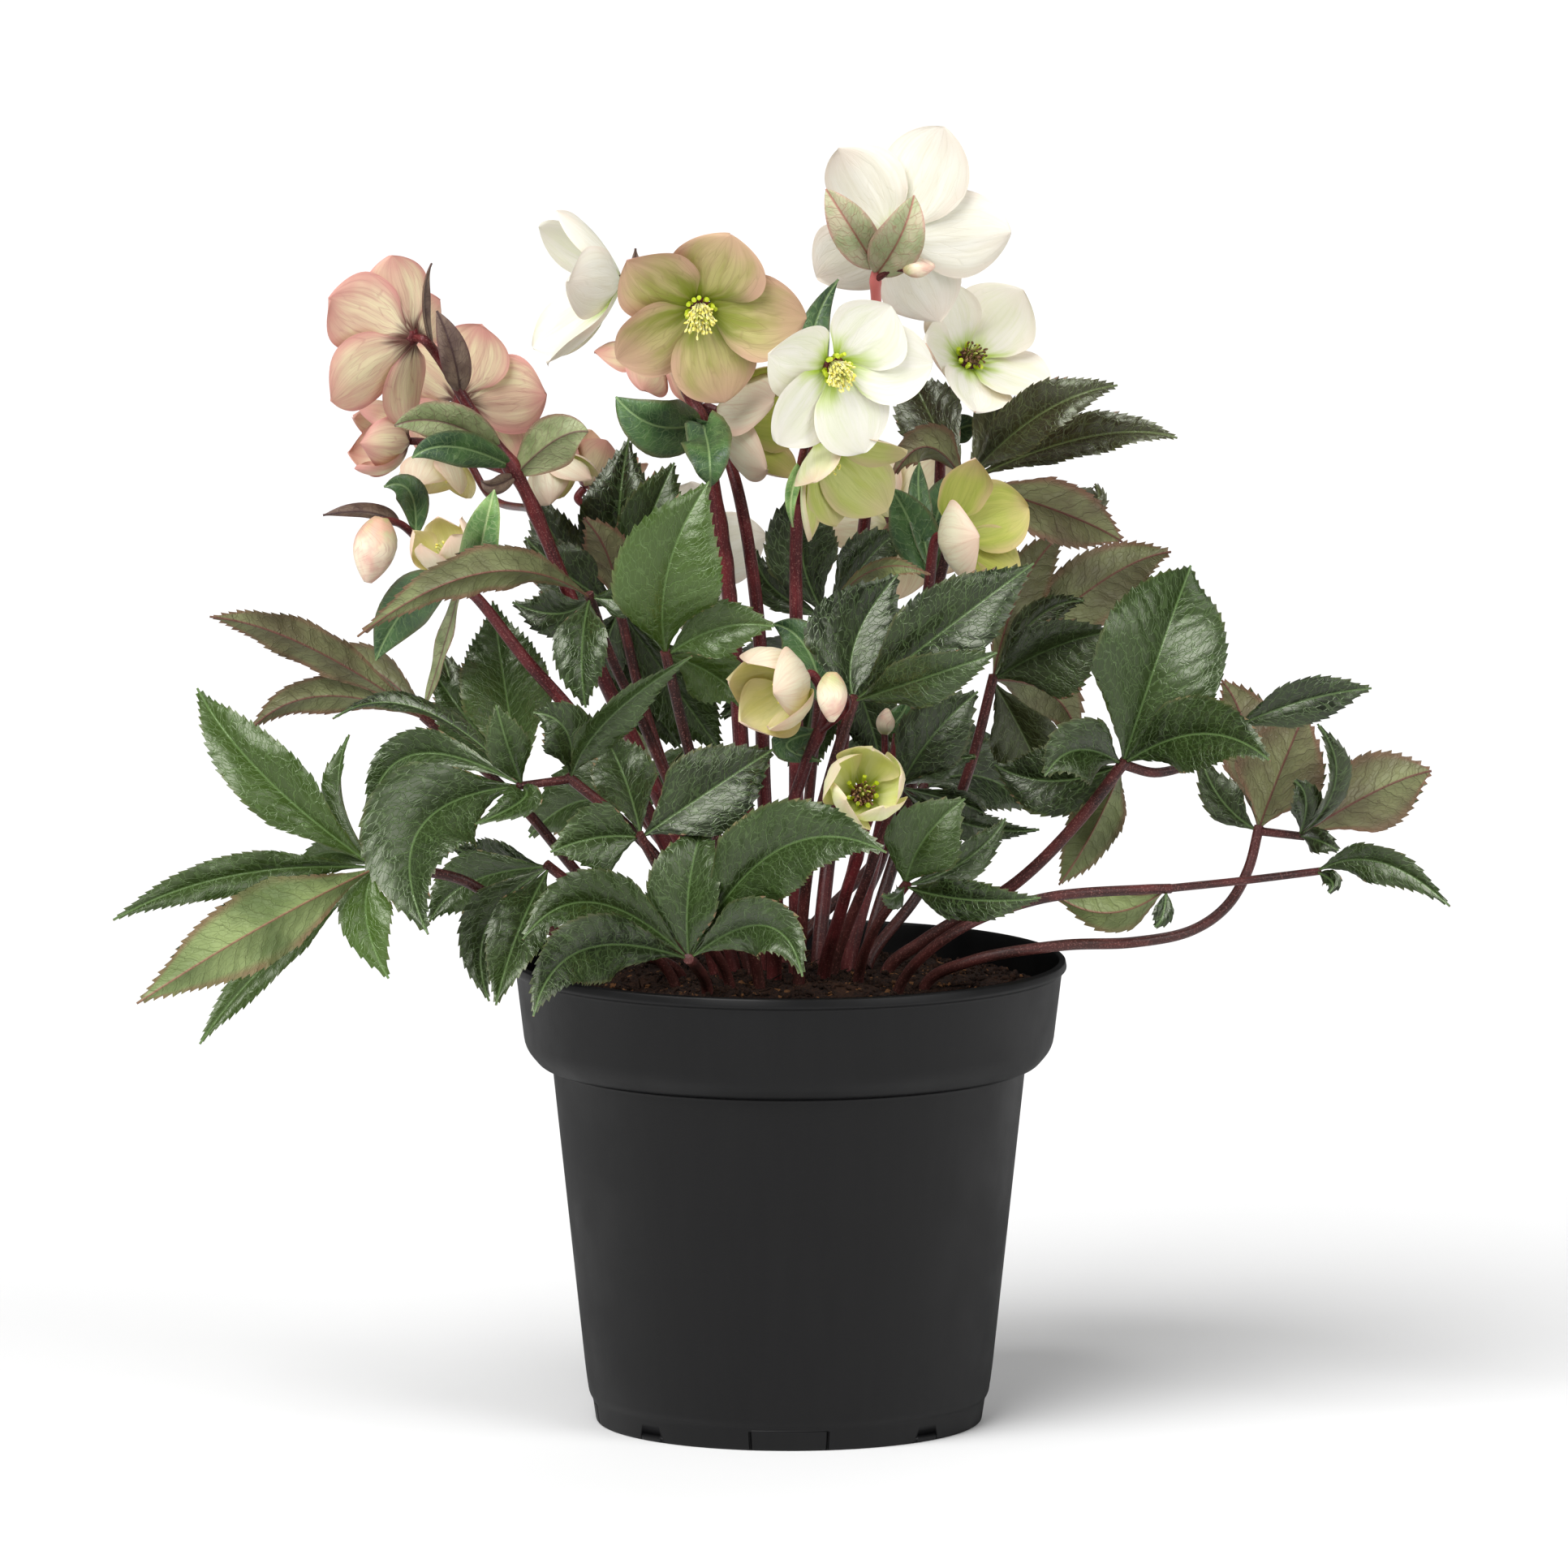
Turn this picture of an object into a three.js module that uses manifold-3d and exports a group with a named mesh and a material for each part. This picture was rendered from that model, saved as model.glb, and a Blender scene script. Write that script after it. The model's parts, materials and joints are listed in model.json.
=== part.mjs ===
// A hellebore in a grower's pot: one flowering plant with toothed, hand-shaped leaves on long petioles,
// bare red flower stems with bracts, and cupped or open blooms of five sepals round a boss of stamens.
// Millimetres, +Z up. The origin is the middle of the pot's foot, on the surface that it stands on.
import * as THREE from "three";
import { mergeVertices } from "three/addons/utils/BufferGeometryUtils.js";
import Module from "manifold-3d";

const wasm = await Module();
wasm.setup();
const { Manifold, Mesh: SolidMesh } = wasm;

// ---- Driving dimensions -----------------------------------------------------------------------------
const RIM_DIAMETER = 226; // outside of the rolled rim
const POT_HEIGHT = 190;
const COLLAR_HEIGHT = 36; // deep band under the rim
const COLLAR_TOP_RADIUS = 111;
const COLLAR_FOOT_RADIUS = 107.3;
const BODY_TOP_RADIUS = 96.2;
const BODY_FOOT_RADIUS = 82.8;
const WALL = 1.8;
const FOOT_RING_RADIUS = 80;
const FOOT_RING_HEIGHT = 9.5;
const FOOT_RING_WIDTH = 16;
const CHANNEL_WIDTH = 36.5; // drainage gaps through the foot ring
const CHANNEL_HEIGHT = 8;
const NOTCH_WIDTH = 10;
const NOTCH_HEIGHT = 3.3;
const DRAIN_HOLE_RADIUS = 5;
const SOIL_EDGE_HEIGHT = 176;
const SOIL_CROWN_RISE = 9; // the compost is heaped a little round the crown
const PLANTING_DEPTH = 24; // how far stems and petioles go down into the compost
const CLEARANCE = 0.35; // gap between neighbouring pieces
const BLADE_THICKNESS = 1.4; // leaf, at the midrib
const SEPAL_THICKNESS = 1.3;
const MERGE_TOLERANCE = 0.1; // corners nearer than this to one another or to a flat are merged

// ---- Front elevation --------------------------------------------------------------------------------
// Leaves, stems and blooms are laid out on a front elevation on which the rim is 686 units wide. It is
// drawn in perspective from 8 m away and a little above. A point is [across, down, back]: across and
// down in drawing units, and back in millimetres behind the pot's axis.
const DRAWN_RIM_WIDTH = 686;
const UNIT = RIM_DIAMETER / DRAWN_RIM_WIDTH;
const DRAWING_CENTRE = 966;
const VIEW_DISTANCE = 8000;
const VIEW_TILT = THREE.MathUtils.degToRad(7.9);
const VIEW_TARGET = new THREE.Vector3(-3, 0, 260.5);
const VIEW_FORWARD = new THREE.Vector3(0, Math.cos(VIEW_TILT), -Math.sin(VIEW_TILT));
const VIEW_UP = new THREE.Vector3(0, Math.sin(VIEW_TILT), Math.cos(VIEW_TILT));
const EYE = VIEW_TARGET.clone().addScaledVector(VIEW_FORWARD, -VIEW_DISTANCE);
const TO_VIEWER = new THREE.Vector3(0, -1, 0);
const UP = new THREE.Vector3(0, 0, 1);

function place([across, down, back]) {
  const ray = VIEW_FORWARD.clone().multiplyScalar(VIEW_DISTANCE);
  ray.x += (across - DRAWING_CENTRE) * UNIT;
  ray.addScaledVector(VIEW_UP, (DRAWING_CENTRE - down) * UNIT);
  return EYE.clone().addScaledVector(ray, (back - EYE.y) / ray.y);
}

// ---- Solids -----------------------------------------------------------------------------------------
function solidOf(positions, triangles) {
  return new Manifold(new SolidMesh({
    numProp: 3,
    vertProperties: new Float32Array(positions),
    triVerts: new Uint32Array(triangles),
  }));
}

function solidOfGeometry(geometry) {
  const bare = geometry.clone();
  bare.deleteAttribute("normal");
  bare.deleteAttribute("uv");
  const merged = mergeVertices(bare, 1e-4);
  const corners = merged.index.array;
  const triangles = [];
  for (let i = 0; i < corners.length; i += 3) {
    const [a, b, c] = corners.slice(i, i + 3);
    if (a !== b && b !== c && a !== c) triangles.push(a, b, c);
  }
  return solidOf(merged.attributes.position.array, triangles);
}

function geometryOf(solid) {
  const mesh = solid.getMesh();
  const geometry = new THREE.BufferGeometry();
  geometry.setAttribute("position", new THREE.BufferAttribute(new Float32Array(mesh.vertProperties), 3));
  geometry.setIndex(new THREE.BufferAttribute(new Uint32Array(mesh.triVerts), 1));
  geometry.computeVertexNormals();
  return geometry;
}

const root = new THREE.Group();

function addNode(name, solid, { color, roughness, metalness = 0 }) {
  const geometry = geometryOf(solid.asOriginal().simplify(MERGE_TOLERANCE));
  const mesh = new THREE.Mesh(geometry, new THREE.MeshStandardMaterial({ color, roughness, metalness }));
  mesh.name = name;
  root.add(mesh);
}

// A closed solid through rings of points, each ring counter-clockwise as seen from the end it leads to.
function solidOfRings(rings) {
  const sides = rings[0].length;
  const positions = rings.flat().flatMap((p) => p.toArray());
  const triangles = [];
  for (let i = 0; i < rings.length - 1; i++) {
    for (let k = 0; k < sides; k++) {
      const a = i * sides + k;
      const b = i * sides + ((k + 1) % sides);
      triangles.push(a, b, b + sides, a, b + sides, a + sides);
    }
  }
  const last = (rings.length - 1) * sides;
  for (let k = 1; k < sides - 1; k++) {
    triangles.push(0, k + 1, k);
    triangles.push(last, last + k, last + k + 1);
  }
  return solidOf(positions, triangles);
}

// Rings round a smooth curve through the points, tapering from one radius to the other. The first span
// is straight; every other span has a ring half-way.
function ringsAlong(points, startRadius, endRadius, sides) {
  const curve = new THREE.CatmullRomCurve3(points, false, "centripetal");
  const spans = points.length - 1;
  const stations = [0, 1];
  for (let span = 1; span < spans; span++) stations.push(span + 0.5, span + 1);
  let normal = null;
  return stations.map((station) => {
    const t = station / spans;
    const centre = curve.getPoint(t);
    const tangent = curve.getTangent(THREE.MathUtils.clamp(t, 0.001, 0.999));
    if (!normal) normal = Math.abs(tangent.x) < 0.8 ? new THREE.Vector3(1, 0, 0) : UP.clone();
    normal = normal.clone().addScaledVector(tangent, -normal.dot(tangent)).normalize();
    const binormal = tangent.clone().cross(normal);
    const radius = THREE.MathUtils.lerp(startRadius, endRadius, t);
    return Array.from({ length: sides }, (_, k) => {
      const turn = (2 * Math.PI * k) / sides;
      return centre.clone()
        .addScaledVector(normal, radius * Math.cos(turn))
        .addScaledVector(binormal, radius * Math.sin(turn));
    });
  });
}

const tube = (points, startRadius, endRadius, sides = 4) =>
  solidOfRings(ringsAlong(points, startRadius, endRadius, sides));

// A thin blade: lens-shaped in section, sharp at the margin, pointed at both ends. surface(s, v) gives
// the middle layer's point and normal, with s from base to tip and v from -1 to 1 across. Both faces
// are split into the same triangles.
function blade(surface, thickness, rows, columns) {
  const positions = [];
  const triangles = [];
  const push = ({ point, normal }, offset) => {
    positions.push(...point.clone().addScaledVector(normal, offset).toArray());
    return positions.length / 3 - 1;
  };
  const upper = [];
  const lower = [];
  for (let i = 0; i < rows; i++) {
    const s = (i + 0.55) / (rows + 0.1);
    upper.push([]);
    lower.push([]);
    for (let k = 0; k <= columns; k++) {
      const v = (2 * k) / columns - 1;
      const here = surface(s, v, i);
      const half = (thickness / 2) * (1 - Math.abs(v) ** 1.5);
      upper[i].push(push(here, half));
      lower[i].push(k === 0 || k === columns ? upper[i][k] : push(here, -half));
    }
  }
  const base = push(surface(0, 0, -1), 0);
  const tip = push(surface(1, 0, rows), 0);
  for (const [face, flip] of [[upper, false], [lower, true]]) {
    const add = (a, b, c) => triangles.push(...(flip ? [a, c, b] : [a, b, c]));
    for (let k = 0; k < columns; k++) {
      add(base, face[0][k + 1], face[0][k]);
      add(tip, face[rows - 1][k], face[rows - 1][k + 1]);
      for (let i = 0; i < rows - 1; i++) {
        const [a, b] = [face[i][k], face[i][k + 1]];
        const [c, d] = [face[i + 1][k + 1], face[i + 1][k]];
        if (k < columns / 2) {
          add(a, b, c);
          add(a, c, d);
        } else {
          add(a, b, d);
          add(b, c, d);
        }
      }
    }
  }
  return solidOf(positions, triangles);
}

// ---- Leaf blades ------------------------------------------------------------------------------------
// A leaflet runs from base through middle to tip. Its width swells to its fullest half-way and tapers
// to a drawn-out point; its margin is toothed, with the teeth pointing forward. roll turns it about its
// midrib: at 0 the upper face looks to the front, at 180 the underside does. fold lifts both halves
// from the midrib, in degrees.
function arc(base, middle, tip) {
  const control = middle.clone().multiplyScalar(2).sub(base.clone().add(tip).multiplyScalar(0.5));
  return new THREE.QuadraticBezierCurve3(base, control, tip);
}

const leafletWidth = (s) => Math.sin(Math.PI * s ** 0.92) ** (0.75 + 0.5 * s) * Math.min(1, 0.15 + 2.4 * s);
const bractWidth = (s) => Math.sin(Math.PI * s ** 0.8) ** 0.85;

function bladeFrame(curve, s, roll) {
  const tangent = curve.getTangent(THREE.MathUtils.clamp(s, 0.001, 0.999));
  const across = tangent.clone().cross(TO_VIEWER);
  if (across.length() < 0.05) across.copy(tangent.clone().cross(UP));
  across.normalize().applyAxisAngle(tangent, roll);
  const normal = across.clone().cross(tangent);
  return { across, normal };
}

function leaflet(base, middle, tip, width, rollDegrees, foldDegrees, rows, toothed) {
  const curve = arc(base, middle, tip);
  const roll = THREE.MathUtils.degToRad(rollDegrees);
  const lift = Math.tan(THREE.MathUtils.degToRad(foldDegrees));
  const profile = toothed ? leafletWidth : bractWidth;
  const surface = (s, v, row) => {
    const margin = Math.abs(v) === 1 && toothed && row >= 2 && row < rows;
    const out = margin ? (row % 2 ? 1.13 : 0.96) : 1;
    const along = margin && row % 2 ? s + 0.3 / rows : s;
    const { across, normal } = bladeFrame(curve, s, roll);
    const half = (width / 2) * profile(THREE.MathUtils.clamp(s, 0, 1)) * out;
    const point = curve.getPoint(Math.min(along, 1))
      .addScaledVector(across, half * v)
      .addScaledVector(normal, half * Math.abs(v) * lift);
    return { point, normal };
  };
  return blade(surface, BLADE_THICKNESS, rows, 2);
}

// ---- Blooms -----------------------------------------------------------------------------------------
// A bloom sits with its receptacle on the end of a pedicel and looks along `face`. Each of its five
// sepals leaves the receptacle at the angle `rise` from that axis and ends at the angle `flare`, so a
// small flare makes a cup and one of about 90 degrees an open dish. The angles round the axis are
// clockwise from the top, as seen from the front. Each sepal is rolled a little, so that one edge lies
// over its neighbour and the other under.
const RECEPTACLE_RADIUS = 4.6;
const RECEPTACLE_DEPTH = 2.6;
const BOSS_RADIUS = 3.9;
const SEPAL_ROLL = THREE.MathUtils.degToRad(9);

const sepalWidth = (s) => Math.sin(Math.PI * s ** 1.2) ** (0.5 + 0.2 * s) * Math.min(1, 0.4 + 2.2 * s);

function axes(face) {
  const forward = new THREE.Vector3(...face).normalize();
  const up = UP.clone().addScaledVector(forward, -UP.dot(forward));
  if (up.length() < 0.2) up.copy(TO_VIEWER).addScaledVector(forward, -TO_VIEWER.dot(forward)).negate();
  up.normalize();
  return { forward, up, right: up.clone().cross(forward) };
}

// Makes rings square to `face`, whose radius and height may change from point to point.
function ringMaker(seat, face, sides) {
  const { forward, up, right } = axes(face);
  return (radiusAt, heightAt) => Array.from({ length: sides }, (_, k) => {
    const turn = (2 * Math.PI * k) / sides;
    return seat.clone()
      .addScaledVector(up, radiusAt(k) * Math.cos(turn))
      .addScaledVector(right, -radiusAt(k) * Math.sin(turn))
      .addScaledVector(forward, heightAt(k));
  });
}

function sepal(seat, face, angleDegrees, { length, width, rise, flare, cup }, rows, columns) {
  const { forward, up, right } = axes(face);
  const angle = THREE.MathUtils.degToRad(angleDegrees);
  const outward = up.clone().multiplyScalar(Math.cos(angle)).addScaledVector(right, Math.sin(angle));
  const start = THREE.MathUtils.degToRad(rise);
  const bend = THREE.MathUtils.degToRad(flare) - start;
  const surface = (s, v) => {
    const lean = start + bend * s;
    const out = 2.2 + (length * (Math.cos(start) - Math.cos(lean))) / bend;
    const along = -1.8 + (length * (Math.sin(lean) - Math.sin(start))) / bend;
    const tangent = outward.clone().multiplyScalar(Math.sin(lean)).addScaledVector(forward, Math.cos(lean));
    const across = outward.clone().cross(forward).applyAxisAngle(tangent, -SEPAL_ROLL * Math.min(1, 3 * s));
    const normal = across.clone().cross(tangent);
    const half = (width / 2) * sepalWidth(THREE.MathUtils.clamp(s, 0, 1));
    const point = seat.clone()
      .addScaledVector(outward, out)
      .addScaledVector(forward, along)
      .addScaledVector(across, half * v)
      .addScaledVector(normal, half * v * v * cup);
    return { point, normal };
  };
  return blade(surface, SEPAL_THICKNESS, rows, columns);
}

// The middle of a bloom is a low cone ringed with stamens: a crown of spikes that lean outwards to
// `spread`, with the styles as one taller spike. Rings of [radius, height] carry it down to its foot.
function crown(seat, face, foot, stamens, spread) {
  const ring = ringMaker(seat, face, 2 * stamens);
  return solidOfRings([
    ...foot.map(([radius, height]) => ring(() => radius, () => height)),
    ring((k) => (k % 2 ? 3.3 : spread), (k) => (k % 2 ? 3.2 : 9.5)),
    ring(() => 2.2, () => 3.8),
    ring(() => 0.5, () => 11.5),
  ]);
}

// The sepals of a bloom: those that it lists, each [angle, long, wide, open], or five alike from the
// angle `turn`. long and wide are shares of the bloom's own length and width, and open adds to its flare.
const sepalsOf = ({ sepals, turn }) => sepals ?? [0, 1, 2, 3, 4].map((k) => [turn + 72 * k, 1, 1, 0]);

function calyx(seat, bloom) {
  const ring = ringMaker(seat, bloom.face, 8);
  const receptacle = [[2.4, -RECEPTACLE_DEPTH], [RECEPTACLE_RADIUS, 0]];
  const parts = [
    bloom.stamens === "fused"
      ? crown(seat, bloom.face, receptacle, 4, stamenSpread(bloom))
      : solidOfRings(receptacle.map(([radius, height]) => ring(() => radius, () => height))),
  ];
  for (const [angle, long, wide, open] of sepalsOf(bloom)) {
    const shape = {
      ...bloom, length: bloom.length * long, width: bloom.width * wide, flare: bloom.flare + open,
    };
    parts.push(sepal(seat, bloom.face, angle, shape, bloom.rows, bloom.columns));
  }
  return Manifold.union(parts);
}

function boss(seat, bloom) {
  const foot = [[BOSS_RADIUS, CLEARANCE], [BOSS_RADIUS + 0.5, 2]];
  return crown(seat, bloom.face, foot, 5, stamenSpread(bloom));
}

const stamenSpread = ({ flare }) => (flare > 60 ? 8.5 : 6.5);

// A closed bud: its sepals wrapped into one egg, five-lobed in section.
function bud(seat, face, length, radius) {
  const ring = ringMaker(seat, face, 10);
  const swell = [0.2, 0.8, 1, 0.72, 0.1];
  return solidOfRings(swell.map((share, i) => ring(
    (k) => radius * share * (k % 2 ? 0.93 : 1.03),
    () => (i / (swell.length - 1)) * length - 1.2,
  )));
}

// ---- Pot --------------------------------------------------------------------------------------------
const POT_SIDES = 24;

function turned(profile) {
  const points = profile.map(([radius, height]) => new THREE.Vector2(radius, height));
  const geometry = new THREE.LatheGeometry(points, POT_SIDES);
  geometry.rotateX(Math.PI / 2);
  return solidOfGeometry(geometry);
}

// Radius of the pot's inner wall at a height, below the collar.
function innerRadius(height) {
  const share = (height - 21) / (146 - 21);
  return THREE.MathUtils.lerp(BODY_FOOT_RADIUS, BODY_TOP_RADIUS, share) - WALL;
}

function drainageWedge(angle, outerWidth, innerWidth, height) {
  const outer = FOOT_RING_RADIUS + 6;
  const inner = FOOT_RING_RADIUS - FOOT_RING_WIDTH - 4;
  const plan = new THREE.Shape([
    new THREE.Vector2(inner, -innerWidth / 2),
    new THREE.Vector2(outer, -outerWidth / 2),
    new THREE.Vector2(outer, outerWidth / 2),
    new THREE.Vector2(inner, innerWidth / 2),
  ]);
  const geometry = new THREE.ExtrudeGeometry(plan, { depth: height + 5, bevelEnabled: false });
  geometry.translate(0, 0, -5);
  geometry.rotateZ(angle);
  return solidOfGeometry(geometry);
}

function makePot() {
  const bodyTop = POT_HEIGHT - COLLAR_HEIGHT - 8;
  const shell = turned([
    [0, CHANNEL_HEIGHT],
    [FOOT_RING_RADIUS - FOOT_RING_WIDTH, CHANNEL_HEIGHT],
    [FOOT_RING_RADIUS - FOOT_RING_WIDTH, 0],
    [FOOT_RING_RADIUS - 1.5, 0],
    [FOOT_RING_RADIUS, FOOT_RING_HEIGHT],
    [BODY_FOOT_RADIUS - 1.4, FOOT_RING_HEIGHT + 2],
    [BODY_FOOT_RADIUS, FOOT_RING_HEIGHT + 11.5],
    [BODY_TOP_RADIUS, bodyTop],
    [COLLAR_FOOT_RADIUS - 6, bodyTop + 1],
    [COLLAR_FOOT_RADIUS, bodyTop + 8],
    [COLLAR_TOP_RADIUS, POT_HEIGHT - 5.5],
    [RIM_DIAMETER / 2, POT_HEIGHT - 4],
    [RIM_DIAMETER / 2 - 0.6, POT_HEIGHT - 0.6],
    [RIM_DIAMETER / 2 - 3, POT_HEIGHT],
    [COLLAR_TOP_RADIUS - WALL, POT_HEIGHT - 5],
    [COLLAR_FOOT_RADIUS - WALL, bodyTop + 9],
    [BODY_TOP_RADIUS - WALL, bodyTop + 2],
    [BODY_FOOT_RADIUS - WALL, FOOT_RING_HEIGHT + 11.5],
    [BODY_FOOT_RADIUS - WALL - 4, FOOT_RING_HEIGHT + 1],
    [0, FOOT_RING_HEIGHT + 1],
  ]);
  const cuts = [];
  for (let k = 0; k < 4; k++) {
    const angle = (Math.PI / 2) * k;
    cuts.push(drainageWedge(angle, CHANNEL_WIDTH + 3, 13.5, CHANNEL_HEIGHT));
    cuts.push(drainageWedge(angle + Math.PI / 4, NOTCH_WIDTH, NOTCH_WIDTH, NOTCH_HEIGHT));
    const hole = new THREE.CylinderGeometry(DRAIN_HOLE_RADIUS, DRAIN_HOLE_RADIUS, 12, 8);
    hole.rotateX(Math.PI / 2);
    hole.translate(44 * Math.cos(angle), 44 * Math.sin(angle), FOOT_RING_HEIGHT);
    cuts.push(solidOfGeometry(hole));
  }
  return shell.subtract(Manifold.union(cuts));
}

// ---- Compost ----------------------------------------------------------------------------------------
const SOIL_RADIUS = 107;

function soilHeight(x, y) {
  const r = Math.hypot(x, y) / SOIL_RADIUS;
  const lumps = 1.1 * Math.sin(x / 9 + 2) * Math.cos(y / 11) + 0.8 * Math.sin((x + 2 * y) / 13);
  return SOIL_EDGE_HEIGHT + SOIL_CROWN_RISE * Math.max(0, 1 - r * r) + lumps * Math.min(1, 4 - 4 * r);
}

function makeCompost() {
  const rings = [0.5, 1];
  const sides = POT_SIDES;
  const positions = [0, 0, soilHeight(0, 0)];
  const triangles = [];
  const ring = (radius, heightAt) => {
    for (let k = 0; k < sides; k++) {
      const angle = (2 * Math.PI * k) / sides;
      const [x, y] = [radius * Math.cos(angle), radius * Math.sin(angle)];
      positions.push(x, y, heightAt(x, y));
    }
  };
  for (const share of rings) ring(share * SOIL_RADIUS, soilHeight);
  const bodyTop = POT_HEIGHT - COLLAR_HEIGHT - 8;
  ring(COLLAR_FOOT_RADIUS - WALL - 1.2, () => bodyTop + 10);
  ring(BODY_TOP_RADIUS - WALL - 0.8, () => bodyTop + 3);
  ring(innerRadius(22) - 0.8, () => 22);
  ring(BODY_FOOT_RADIUS - WALL - 5, () => FOOT_RING_HEIGHT + 1 + CLEARANCE);
  const rows = rings.length + 4;
  positions.push(0, 0, FOOT_RING_HEIGHT + 1 + CLEARANCE);
  const bottom = positions.length / 3 - 1;
  for (let k = 0; k < sides; k++) {
    const next = (k + 1) % sides;
    triangles.push(0, 1 + k, 1 + next);
    for (let i = 0; i < rows - 1; i++) {
      const a = 1 + i * sides + k;
      const b = 1 + i * sides + next;
      triangles.push(a, a + sides, b + sides, a, b + sides, b);
    }
    const a = 1 + (rows - 1) * sides + k;
    const b = 1 + (rows - 1) * sides + next;
    triangles.push(a, bottom, b);
  }
  return solidOf(positions, triangles);
}

// Every stem and petiole stands in a plain hole in the compost, a clearance wider than itself.
const sleeves = [];

function planted([x, y], above, startRadius, endRadius, sides) {
  const ground = soilHeight(x, y);
  const foot = new THREE.Vector3(x, y, ground - PLANTING_DEPTH);
  const collar = new THREE.Vector3(x, y, ground + 1);
  const rings = (gap, depth) => ringsAlong(
    [foot.clone().setZ(foot.z - depth), collar, ...above], startRadius + gap, endRadius + gap, sides);
  sleeves.push(solidOfRings(rings(2 * CLEARANCE, CLEARANCE).slice(0, 3)));
  return solidOfRings(rings(0, 0));
}

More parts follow.
